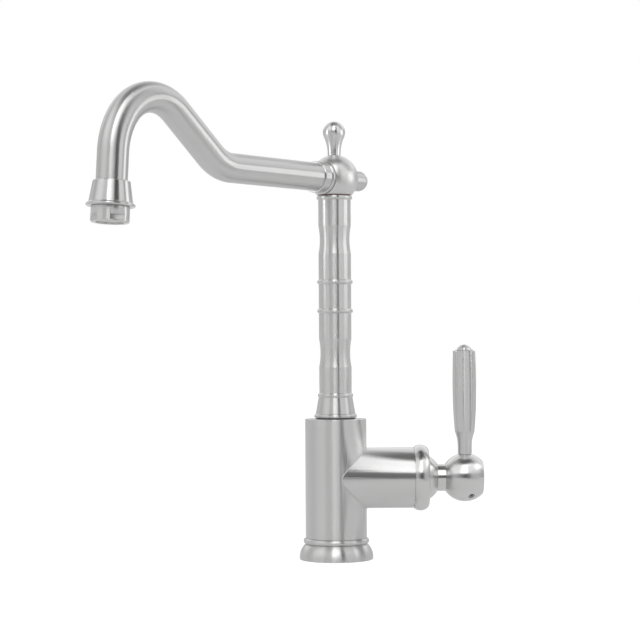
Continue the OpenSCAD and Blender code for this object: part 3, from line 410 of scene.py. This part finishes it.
def start_outline(name, radius, height):
    bpy.ops.object.select_all(action="DESELECT")
    bpy.ops.mesh.primitive_plane_add(size=0.1 * MM, location=(radius * MM, 0, height * MM))
    piece = bpy.context.object
    piece.name = name
    bpy.ops.object.transform_apply(location=True, rotation=True, scale=True)
    bpy.ops.object.mode_set(mode="EDIT")
    bpy.ops.mesh.select_all(action="SELECT")
    bpy.ops.mesh.merge(type="CENTER")
    return piece


def line_to(here, radius, height):
    step = ((radius - here[0]) * MM, 0, (height - here[1]) * MM)
    bpy.ops.mesh.extrude_vertices_move(TRANSFORM_OT_translate={"value": step})
    return (radius, height)


def arc_round(here, middle, degrees):
    reach = math.hypot(here[0] - middle[0], here[1] - middle[1])
    angle = math.radians(degrees)
    steps = math.ceil(max(abs(degrees) / 5, abs(angle) * reach / 1.5))
    centre = (middle[0] * MM, 0, middle[1] * MM)
    bpy.ops.mesh.spin(steps=steps, angle=angle, center=centre, axis=(0, 1, 0))
    start = math.atan2(here[1] - middle[1], here[0] - middle[0])
    return (middle[0] + reach * math.cos(start + angle), middle[1] + reach * math.sin(start + angle))


def select_place(piece, test):
    bpy.ops.mesh.select_all(action="DESELECT")
    mesh = bmesh.from_edit_mesh(piece.data)
    chosen = [vertex for vertex in mesh.verts if test(vertex.co / MM)]
    for vertex in chosen:
        vertex.select = True
    mesh.select_flush_mode()
    bmesh.update_edit_mesh(piece.data)
    return len(chosen)


# %% Spin the outline and smooth the result
def soften(piece, crisp=30):
    bpy.ops.object.select_all(action="DESELECT")
    piece.select_set(True)
    bpy.context.view_layer.objects.active = piece
    bpy.ops.object.shade_smooth_by_angle(angle=math.radians(crisp))
    weigh = piece.modifiers.new("even_shading", "WEIGHTED_NORMAL")
    weigh.keep_sharp = True
    bpy.ops.object.modifier_apply(modifier=weigh.name)


def turn_part(name, start, outline, crisp=30, around=128):
    piece = start_outline(name, *start)
    here = start
    corners = []
    for kind, *numbers in outline:
        if kind == "line":
            here = line_to(here, *numbers[:2])
            if len(numbers) == 3:
                corners.append((here, numbers[2]))
        else:
            here = arc_round(here, numbers[:2], numbers[2])
    for (radius, height), size in corners:
        select_place(piece, lambda co: math.hypot(co.x - radius, co.z - height) < 0.001)
        bpy.ops.mesh.bevel(offset_type="OFFSET", offset=size * MM, segments=5, affect="VERTICES",
                           clamp_overlap=False)
    bpy.ops.mesh.select_all(action="SELECT")
    bpy.ops.mesh.spin(steps=around, angle=math.tau, center=(0, 0, 0), axis=(0, 0, 1))
    bpy.ops.mesh.select_all(action="SELECT")
    bpy.ops.mesh.remove_doubles(threshold=0.001 * MM)
    bpy.ops.mesh.normals_make_consistent(inside=False)
    bpy.ops.object.mode_set(mode="OBJECT")
    soften(piece, crisp)
    return piece


# %% Put a part in its place and give it its finish
def set_down(piece, turn=(0, 0, 0), place=(0, 0, 0)):
    bpy.ops.object.select_all(action="DESELECT")
    piece.select_set(True)
    bpy.context.view_layer.objects.active = piece
    piece.rotation_euler = [math.radians(angle) for angle in turn]
    piece.location = [length * MM for length in place]
    bpy.ops.object.transform_apply(location=True, rotation=True, scale=True)


groups = frame["record"]["behaviour"]["bodies"]
body_of = {node: body for body, nodes in groups.items() for node in nodes}
slot_of = {row["node"]: row["material_slot"] for row in frame["record"]["subparts"]}


def fit_part(piece, node, material=None):
    if material:
        piece.data.materials.clear()
        piece.data.materials.append(material)
    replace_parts(piece, node)
    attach(piece, body_of[node])
    low, high = (Vector(corner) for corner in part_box(node))
    corners = [piece.matrix_world @ Vector(corner) for corner in piece.bound_box]
    off = max(max(abs(min(c[i] for c in corners) - low[i]), abs(max(c[i] for c in corners) - high[i]))
              for i in range(3))
    print(f"{piece.name}: {len(piece.data.polygons)} faces, within {off / MM:.2f} mm of {node}")


def combine(piece, tool, operation):
    bpy.ops.object.select_all(action="DESELECT")
    piece.select_set(True)
    bpy.context.view_layer.objects.active = piece
    join = piece.modifiers.new(operation.lower(), "BOOLEAN")
    join.operation = operation
    join.object = tool
    join.solver = "EXACT"
    join.material_mode = "TRANSFER"
    bpy.ops.object.modifier_apply(modifier=join.name)
    bpy.data.objects.remove(tool)

# %% [markdown]
# ## The foot
# The foot is a flared ring with a full round bead on top, and it hides the hole in the worktop. It is
# turned with its real underside, a bore for the hoses and a groove for the rubber ring, because the part
# may be seen from below. The flare and the bead meet in a fine line, so the two curves are not blended.

# %% Turn the foot
foot = turn_part("foot_ring", (19.5, 0), [
    ("line", 22.4, 0), ("line", 22.4, 2.5), ("line", 26.0, 2.5), ("line", 26.0, 0),
    ("line", 28.9, 0, 0.7), ("line", 28.9, 2), ("arc", 15.4, 2, 49.07), ("line", 23.7, 12.22),
    ("arc", 23.5, 14.5, 175.0), ("line", 21.55, 16.8), ("line", 21.55, 26, 0.3),
    ("line", 19.5, 26, 0.3), ("line", 19.5, 0)], crisp=14)
fit_part(foot, "base_flange", upright_steel)

# %% [markdown]
# ## The body and its side branch
# The body is two tubes that cross at a right angle. One way is to move vertices until they meet, but the
# seam of two round tubes is a curve that is hard to place by hand. So both tubes are turned as solid
# bars, joined by a boolean, and bored out by two more. The bars keep their own finish, because one was
# brushed round its upright axis and the other round its level axis. The seam's own edges are then copied
# out and given a small round section, as the polished weld that catches the light.

# %% Join and bore the two tubes
body = turn_part("tap_shell", (0, 16.8), [
    ("line", BODY_RADIUS, 16.8, 0.25), ("line", BODY_RADIUS, 110, 0.5), ("line", 0, 110)])
body.data.materials.append(upright_steel)
branch = turn_part("branch_bar", (0, 0), [
    ("line", BRANCH_RADIUS, 0), ("line", BRANCH_RADIUS, 61, 0.35), ("line", 0, 61)])
branch.data.materials.append(level_steel)
set_down(branch, turn=(0, 90, 0), place=BRANCH_PLACE)
combine(body, branch, "UNION")
body_bore = turn_part("body_bore", (0, 10), [
    ("line", 21.6, 10), ("line", 21.6, 107.4), ("line", 10.95, 107.4), ("line", 10.95, 112),
    ("line", 0, 112)])
combine(body, body_bore, "DIFFERENCE")
branch_bore = turn_part("branch_bore", (0, 0), [("line", 21.2, 0), ("line", 21.2, 63), ("line", 0, 63)])
set_down(branch_bore, turn=(0, 90, 0), place=BRANCH_PLACE)
combine(body, branch_bore, "DIFFERENCE")
soften(body)
fit_part(body, "body_shell")


# %% Copy the seam out as a polished weld
def on_seam(co):
    on_body = abs(math.hypot(co.x, co.y) - BODY_RADIUS) < 0.02
    on_branch = abs(math.hypot(co.y, co.z - BRANCH_PLACE[2]) - BRANCH_RADIUS) < 0.02
    return on_body and on_branch and co.x > 0


bpy.ops.object.select_all(action="DESELECT")
body.select_set(True)
bpy.context.view_layer.objects.active = body
bpy.ops.object.mode_set(mode="EDIT")
bpy.context.tool_settings.mesh_select_mode = (False, True, False)
bpy.ops.mesh.select_all(action="DESELECT")
shell = bmesh.from_edit_mesh(body.data)
for edge in shell.edges:
    edge.select = all(on_seam(vertex.co / MM) for vertex in edge.verts)
bmesh.update_edit_mesh(body.data)
bpy.ops.mesh.duplicate()
bpy.ops.mesh.separate(type="SELECTED")
bpy.context.tool_settings.mesh_select_mode = (True, False, False)
bpy.ops.object.mode_set(mode="OBJECT")
weld = next(piece for piece in bpy.context.selected_objects if piece != body)
weld.name = "branch_weld"
bpy.ops.object.select_all(action="DESELECT")
weld.select_set(True)
bpy.context.view_layer.objects.active = weld
bpy.ops.object.mode_set(mode="EDIT")
bpy.ops.mesh.select_all(action="SELECT")
bpy.ops.mesh.remove_doubles(threshold=0.4 * MM)
bpy.ops.object.mode_set(mode="OBJECT")
print("weld:", len(weld.data.vertices), "vertices,", len(weld.data.edges), "edges")
bpy.ops.object.convert(target="CURVE")
weld.data.bevel_depth = 0.4 * MM
weld.data.bevel_resolution = 2
bpy.ops.object.convert(target="MESH")
bpy.ops.object.shade_smooth()
weld.data.materials.clear()
weld.data.materials.append(upright_steel)
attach(weld, "tap_body")
print("weld faces:", len(weld.data.polygons))

# %% [markdown]
# ## The column
# The column is the longest turned part, and its look is all in its outline: a bead at the foot, a slim
# cone, four raised rings with a small cove above and below each one, and two long waists. Each ring is
# the same run of arcs, so it is written once and placed four times. The coves matter, because a sharp
# corner would give a hard line where the real part shows a soft one.

# %% Turn the column
def ring_outline(height, first=None, last=None):
    lower = [("line", 12.75, height - 2.071), ("arc", 13.25, height - 2.071, -64.2)]
    upper = [("arc", 13.25, height + 2.071, -64.2)]
    middle = ("arc", 12.25, height, 128.4)
    if first:
        lower, middle = first, ("arc", 12.25, height, 104.2)
    if last:
        upper, middle = last, ("arc", 12.25, height, 154.2)
    return [*lower, middle, *upper]


def waist_outline(height):
    return [("line", 12.75, height), ("arc", 67.7, height + 11.05, -22.74)]


cone = [("line", 15.6, 114.3, 0.3), ("line", 13.4, 126.9), ("line", 13.629, 127.243)]
column = turn_part("turned_column", (9, 95.4), [
    ("line", 10.9, 95.4, 0.4), ("line", 10.9, 110.7), ("line", 15.25, 110.7),
    ("arc", 15.25, 112.3, 160.0), ("line", 15.6, 113.9), *ring_outline(128.4, first=cone),
    *waist_outline(150.5), *ring_outline(194.7), *ring_outline(217.5), *waist_outline(239.6),
    *ring_outline(283.8, last=[("line", 7.55, 285.6)]),
    ("line", 7.55, 267.6), ("line", 9, 267.6), ("line", 9, 95.4)], crisp=9)
fit_part(column, "column", upright_steel)

# %% [markdown]
# ## The ball head, the finial and the rear knob
# The ball head keeps the mechanical model's shape, which is a plain ball with three flats. The pear on
# top is a neck that swells through a long cove into a ball. The knob behind is a short bar with a
# half-round end. Both are turned with their studs, so they stay whole when the head is taken apart.

# %% Turn the finial and the rear knob
finial = turn_part("pear_finial", (0, 311.38), [
    ("line", 2.5, 311.38, 0.3), ("line", 2.5, 316.88), ("line", 5.1, 316.88, 0.25),
    ("line", 5.1, 319.009), ("arc", 35.1, 319.009, -25.07), ("arc", 0, 335.427, 115.07)], crisp=40)
fit_part(finial, "finial", finial_steel)
knob = turn_part("back_knob", (0, 7.65), [
    ("line", 1.8, 7.65, 0.3), ("line", 1.8, 11), ("line", 3, 11), ("line", 3, 16.92),
    ("line", 8, 16.92, 0.3), ("line", 8, 29.917), ("arc", 0, 29.917, 90)])
set_down(knob, turn=(0, 90, SPOUT_TURN - 180), place=HEAD_PLACE)
fit_part(knob, "rear_knob", spout_steel)

# %% [markdown]
# ## The spout
# The collar clamps the tube to the ball. It is turned with a bead, a thin groove and a plain band. The
# tube itself was bent from one straight pipe, so it is made that way too: a ring of vertices is extruded
# for each straight stretch and spun for each bend, all in one mesh, so that no joint shows. Solidify
# gives the wall its thickness last.

# %% Turn the collar
collar = turn_part("tube_collar", (7, 10.1), [
    ("line", 8, 10.1), ("line", 8, 13.59), ("line", 11.2, 13.59), ("arc", 11.2, 15.38, 160.0),
    ("line", 11.55, 17.12), ("line", 11.55, 17.79), ("line", 12.3, 17.79, 0.2), ("line", 12.3, 24.1),
    ("arc", 11.4, 24.1, 90), ("line", 11.05, 25), ("line", 11.05, 17.5), ("line", 7, 17.5),
    ("line", 7, 10.1)])
set_down(collar, turn=(0, 90, SPOUT_TURN), place=HEAD_PLACE)
fit_part(collar, "spout_collar", spout_steel)


# %% Bend the tube
TUBE_START = 17.5


def ring_middle(piece):
    mesh = bmesh.from_edit_mesh(piece.data)
    chosen = [vertex.co for vertex in mesh.verts if vertex.select]
    return sum(chosen, Vector()) / len(chosen)


def push(heading, length):
    step = (length * MM * math.cos(heading), 0, length * MM * math.sin(heading))
    bpy.ops.mesh.extrude_edges_move(TRANSFORM_OT_translate={"value": step})


def curve(piece, heading, radius, degrees):
    side = 1 if degrees > 0 else -1
    middle = ring_middle(piece) + Vector((-math.sin(heading), 0, math.cos(heading))) * radius * side * MM
    bpy.ops.mesh.spin(steps=math.ceil(abs(math.radians(degrees)) * radius / 1.5),
                      angle=math.radians(degrees), center=middle, axis=(0, 1, 0))
    return heading + math.radians(degrees)


bpy.ops.object.select_all(action="DESELECT")
bpy.ops.mesh.primitive_circle_add(vertices=96, radius=11 * MM, location=(TUBE_START * MM, 0, 0),
                                  rotation=(0, math.radians(90), 0))
tube = bpy.context.object
tube.name = "bent_tube"
bpy.ops.object.transform_apply(location=True, rotation=True, scale=True)
bpy.ops.object.mode_set(mode="EDIT")
bpy.ops.mesh.select_all(action="SELECT")
push(0, 122 - TUBE_START)
heading = curve(tube, 0, 37, 38)
push(heading, 46)
heading = curve(tube, heading, 37, -92)
heading = curve(tube, heading, 51, -32)
push(heading, 29.7)
tube_end = ring_middle(tube) / MM
print("tube ends at", [round(c, 2) for c in tube_end], "heading", round(math.degrees(heading), 1))
bpy.ops.mesh.select_all(action="SELECT")
bpy.ops.mesh.remove_doubles(threshold=0.001 * MM)
bpy.ops.mesh.normals_make_consistent(inside=False)
bpy.ops.object.mode_set(mode="OBJECT")
wall = tube.modifiers.new("wall", "SOLIDIFY")
wall.thickness = 1.2 * MM
wall.offset = -1
bpy.ops.object.modifier_apply(modifier=wall.name)
soften(tube)
set_down(tube, turn=(0, 0, SPOUT_TURN), place=HEAD_PLACE)
fit_part(tube, "spout_tube", tube_steel)

# %% [markdown]
# ## The outlet
# A tapered sleeve covers the tube's end and ends in a thin lip. Below it sits the housing of the
# aerator, which has four small flats for a spanner. Both are turned on the outlet's own axis, which
# leans four degrees, and their finish follows that axis. The flats are cut with one square block that
# is turned a quarter between the cuts.

# %% Turn the sleeve and the aerator housing
lean = math.degrees(heading)
outlet_turn = (0, 90 - lean, SPOUT_TURN)
outlet_place = (tube_end.x * math.cos(spout_angle), tube_end.x * math.sin(spout_angle),
                HEAD_PLACE[2] + tube_end.z)
outlet_axis = Vector((math.cos(spout_angle) * math.cos(heading),
                      math.sin(spout_angle) * math.cos(heading), math.sin(heading)))
outlet_steel = brushed("outlet_steel", axis=outlet_axis, rough=0.26,
                       centre=[length * MM for length in outlet_place])
sleeve = turn_part("outlet_cone", (11.05, -10), [
    ("line", 11.9, -10), ("arc", 11.9, -8.8, 90), ("line", 15.2, 4.6), ("arc", 16.6, 4.6, -90),
    ("line", 16.6, 6.134), ("arc", 16.1, 7, 150), ("line", 12.05, 8), ("line", 12.05, 1.2),
    ("line", 9.8, 1.2), ("line", 9.8, 0), ("line", 11.05, 0), ("line", 11.05, -10)], crisp=25)
set_down(sleeve, turn=outlet_turn, place=outlet_place)
fit_part(sleeve, "outlet_sleeve", outlet_steel)

housing = turn_part("aerator_ring", (10.55, 2.4), [
    ("line", 12, 2.4, 0.3), ("line", 12, 8.15), ("line", 13.45, 8.15, 0.25), ("line", 13.45, 18.05),
    ("arc", 12.45, 18.05, 90), ("line", 9.7, 19.05, 0.3), ("line", 9.7, 17.45), ("line", 10.55, 17.45),
    ("line", 10.55, 2.4)])
for quarter in range(4):
    bpy.ops.object.select_all(action="DESELECT")
    bpy.ops.mesh.primitive_cube_add(size=1, location=(0, 0, 0))
    block = bpy.context.object
    block.scale = (8 * MM, 20 * MM, 3.4 * MM)
    block.location = (16.361 * MM, 0, 16.15 * MM)
    bpy.ops.object.transform_apply(location=True, rotation=True, scale=True)
    set_down(block, turn=(0, 0, 20 + 90 * quarter))
    combine(housing, block, "DIFFERENCE")
soften(housing)
set_down(housing, turn=outlet_turn, place=outlet_place)
fit_part(housing, "aerator_housing", outlet_steel)

# %% [markdown]
# ## The bead ring and the lever's hub
# The branch ends in a rounded ring. Inside it turns a dome, and dome, neck and ball are one turned piece
# that carries the handle. Ball and dome are arcs of the outline. The ball gets a flat seat on top for
# the handle, and a hole low at the front for the small screw that holds it.

# %% Turn the bead ring
bead = turn_part("bead_collar", (20, 56.8), [
    ("line", 21.15, 56.8), ("line", 21.15, 61), ("line", 23.2, 61), ("line", 23.2, 61.35),
    ("line", 24.26, 61.35), ("arc", 17.8, 66.2, 89.1), ("line", 17.6, 72.6, 0.3),
    ("arc", 0, 63.1, -28.36), ("line", 20, 56.8)], crisp=25)
set_down(bead, turn=(0, 90, 0), place=BRANCH_PLACE)
fit_part(bead, "bead_ring", hub_steel)

# %% Turn the hub and cut its seat and holes
hub = turn_part("lever_ball", (0, 110), [
    ("line", 5.05, 110), ("line", 5.05, 79.542), ("arc", 0, 63.1, -63.75), ("line", 19.508, 65.842, 0.3),
    ("arc", 0, 63.1, 49.45), ("line", 10.6, 85.852), ("arc", 0, 101.5, 100.9197),
    ("arc", 11.943, 113.457, 36.8893), ("arc", 0, 29.3, 8.0771)], crisp=22)
set_down(hub, turn=(0, 90, 0), place=BRANCH_PLACE)
seat = turn_part("seat_cutter", (0, 17.96), [
    ("line", 7, 17.96), ("line", 7, 40), ("line", 0, 40)])
set_down(seat, place=BALL_PLACE)
combine(hub, seat, "DIFFERENCE")
rod_hole = turn_part("rod_cutter", (0, 6.15), [
    ("line", 3.05, 6.15), ("line", 3.05, 24), ("line", 0, 24)])
set_down(rod_hole, place=BALL_PLACE)
combine(hub, rod_hole, "DIFFERENCE")
grub_hole = turn_part("grub_cutter", (0, 4), [
    ("line", 2.5, 4), ("line", 2.5, 24), ("line", 0, 24)])
set_down(grub_hole, turn=(139, 0, 0), place=(105.5, 0, 63.4))
combine(hub, grub_hole, "DIFFERENCE")
soften(hub, crisp=22)
fit_part(hub, "lever_hub", hub_steel)

# %% [markdown]
# ## The handle
# The handle is a slim barrel with eight long hollows, called flutes. It starts as one ring of 96
# vertices, twelve to a flute, which is extruded upward and resized level by level. In each level of the
# barrel the vertices are then drawn in by their place in the flute, the middle one most, until the ring
# follows a round cutter. The eight ridges that stay between the flutes are broken by a small bevel. The
# finished handle is screwed down eight degrees off square, and a rounded button closes the top.

# %% Measures of the handle
def barrel_radius(height):
    if height < 64:
        return -280.576 + math.sqrt(290 ** 2 - (height - 66.9) ** 2)
    return -790.55 + math.sqrt(800 ** 2 - (height - 72) ** 2)


def cove_radius(height):
    return 33.55 - math.sqrt(28 ** 2 - (height - 24.84) ** 2)


def flute_share(height, step):
    middle = 18.55 - 622 + math.sqrt(622 ** 2 - (height - 72) ** 2)
    angle = math.radians(3.75 * step)
    hollow = middle * math.cos(angle) - math.sqrt(10.5 ** 2 - (middle * math.sin(angle)) ** 2)
    return min(1, hollow / barrel_radius(height))


SEAT_HEIGHT = 17.96
HANDLE_TOP = 99.6
STUD_RADIUS = 4.7
ROD_BORE = 3.05
plain_levels = [(SEAT_HEIGHT, STUD_RADIUS), (18.5, STUD_RADIUS), (18.52, 5.55), (24.84, 5.55)]
plain_levels += [(height, cove_radius(height)) for height in (27, 29.5, 31.5, 33, 34.2, 35.1, 35.7)]
barrel_levels = [35.76] + [35.76 + (99.2 - 35.76) * step / 42 for step in range(1, 43)] + [HANDLE_TOP]

# %% Raise the handle level by level
bpy.ops.object.select_all(action="DESELECT")
bpy.ops.mesh.primitive_circle_add(vertices=96, radius=STUD_RADIUS * MM,
                                  location=(0, 0, SEAT_HEIGHT * MM))
stick = bpy.context.object
stick.name = "fluted_handle"
bpy.ops.object.transform_apply(location=True, rotation=True, scale=True)
bpy.ops.object.mode_set(mode="EDIT")
bpy.ops.mesh.select_all(action="SELECT")


def raise_ring(rise, ratio, height):
    bpy.ops.mesh.extrude_edges_move(TRANSFORM_OT_translate={"value": (0, 0, rise * MM)})
    bpy.ops.transform.resize(value=(ratio, ratio, 1), center_override=(0, 0, height * MM))


level, radius = plain_levels[0]
for height, wide in plain_levels[1:]:
    raise_ring(height - level, wide / radius, height)
    level, radius = height, wide
for height in barrel_levels:
    wide = barrel_radius(height) - (0.35 if height == barrel_levels[-1] else 0)
    raise_ring(height - level, wide / radius, height)
    level, radius = height, wide


# %% Draw the flutes in
def flute_step(co):
    turn = math.degrees(math.atan2(co.y, co.x)) % 45
    return round(abs(turn - 22.5) / 3.75)


for height in barrel_levels:
    for step in range(6):
        share = flute_share(height, step)
        if share < 1:
            select_place(stick, lambda co: abs(co.z - height) < 0.01 and flute_step(co) == step)
            bpy.ops.transform.resize(value=(share, share, 1), center_override=(0, 0, height * MM))
print("flute depth at the widest:", round(barrel_radius(72) * (1 - flute_share(72, 0)), 2), "mm")


# %% Bore the handle for its rod
def bridge_to_bore(height):
    select_place(stick, lambda co: abs(co.z - height) < 0.01)
    bpy.ops.mesh.primitive_circle_add(vertices=96, radius=ROD_BORE * MM, location=(0, 0, height * MM))
    select_place(stick, lambda co: abs(co.z - height) < 0.01)
    bpy.ops.mesh.bridge_edge_loops()


bridge_to_bore(SEAT_HEIGHT)
bridge_to_bore(HANDLE_TOP)
select_place(stick, lambda co: math.hypot(co.x, co.y) < ROD_BORE + 0.05)
bpy.ops.mesh.bridge_edge_loops()

# %% Break the eight ridges
def on_ridge(co):
    return 35.7 < co.z < 99.3 and flute_step(co) == 6 and math.hypot(co.x, co.y) > 6


select_place(stick, on_ridge)
bpy.ops.mesh.bevel(offset_type="OFFSET", offset=0.45 * MM, segments=3, affect="EDGES",
                   clamp_overlap=True)
bpy.ops.mesh.select_all(action="SELECT")
bpy.ops.mesh.normals_make_consistent(inside=False)
bpy.ops.object.mode_set(mode="OBJECT")
soften(stick, crisp=24)
set_down(stick, turn=(0, 0, -8), place=BALL_PLACE)
fit_part(stick, "lever_stick", handle_steel)

# %% Turn the button on top
button = turn_part("handle_button", (0, 102.5), [
    ("line", 3.05, 102.5), ("line", 3.05, 99.6), ("line", 6.45, 99.6), ("arc", 6.45, 100.05, 180),
    ("line", 5.833, 100.5), ("arc", 0, 98.087, 67.53)])
set_down(button, place=BALL_PLACE)
fit_part(button, "lever_cap", handle_steel)

# %% [markdown]
# ## The parts inside
# The other parts keep the mechanical model's shape, because they are hidden at rest, or so small that
# their edges read as they are. They still need honest finishes, since the tap may be taken apart on
# screen: turned brass and copper, black rubber, red fibre, matt ceramic, moulded plastic and the plain
# steel of small screws. Turned metals use the brushed finish in another tint, and the rest share one
# grainy finish.

# %% Finishes for what is not steel
def grainy(name, dark, pale, rough, grain, depth, metallic=0.0):
    material = bpy.data.materials.new(name)
    material.use_nodes = True
    tree = material.node_tree
    surface = tree.nodes["Principled BSDF"]
    surface.inputs["Roughness"].default_value = rough
    surface.inputs["Metallic"].default_value = metallic
    coordinates = add_node(tree, "ShaderNodeTexCoord", (-900, 0))
    fine = noise_node(tree, coordinates.outputs["Object"], grain, 4, (-650, 100))
    broad = noise_node(tree, coordinates.outputs["Object"], grain / 12, 2, (-650, -150))
    mottle = math_node(tree, "ADD", math_node(tree, "MULTIPLY", fine, 0.6, (-450, 100)),
                       math_node(tree, "MULTIPLY", broad, 0.4, (-450, -150)), (-300, 0))
    colour = add_node(tree, "ShaderNodeMix", (-100, 100), data_type="RGBA")
    colour.inputs["A"].default_value = (*dark, 1)
    colour.inputs["B"].default_value = (*pale, 1)
    tree.links.new(ease(tree, mottle, 0.3, 0.7, place=(-200, 300)), colour.inputs["Factor"])
    tree.links.new(colour.outputs["Result"], surface.inputs["Base Color"])
    bump = add_node(tree, "ShaderNodeBump", (-100, -300))
    bump.inputs["Strength"].default_value = 0.3
    bump.inputs["Distance"].default_value = depth * MM
    tree.links.new(fine, bump.inputs["Height"])
    tree.links.new(bump.outputs[0], surface.inputs["Normal"])
    return material


FINISHES = {
    "steel": brushed("inner_steel", rough=0.32, stretch=0.6),
    "brass": brushed("turned_brass", rough=0.3, stretch=0.6, tint=(0.78, 0.57, 0.27)),
    "copper": brushed("drawn_copper", rough=0.29, stretch=0.6, tint=(0.80, 0.45, 0.31)),
    "rubber": grainy("black_rubber", (0.012, 0.012, 0.013), (0.03, 0.03, 0.031), 0.6, 900, 0.02),
    "fibre": grainy("red_fibre", (0.16, 0.035, 0.025), (0.28, 0.07, 0.045), 0.8, 1500, 0.03),
    "ceramic": grainy("matt_ceramic", (0.72, 0.70, 0.66), (0.82, 0.81, 0.78), 0.35, 2200, 0.004),
    "grey_plastic": grainy("grey_plastic", (0.20, 0.21, 0.22), (0.26, 0.27, 0.28), 0.45, 1600, 0.01),
    "white_plastic": grainy("white_plastic", (0.74, 0.74, 0.72), (0.84, 0.84, 0.83), 0.4, 1600, 0.01),
    "dark_steel": grainy("screw_steel", (0.52, 0.52, 0.52), (0.62, 0.62, 0.62), 0.4, 1800, 0.01, 1.0),
}

# %% Dress every part that keeps its shape
def dress(node, material):
    piece = frame["nodes"][node]
    piece.data.materials.clear()
    piece.data.materials.append(material)


replaced = {node for piece in bpy.data.objects for node in piece.get("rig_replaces", [])}
for node, slot in slot_of.items():
    if node not in replaced:
        dress(node, FINISHES[slot])
dress("ball_head", ball_steel)
print("dressed:", sorted(set(slot_of) - replaced))
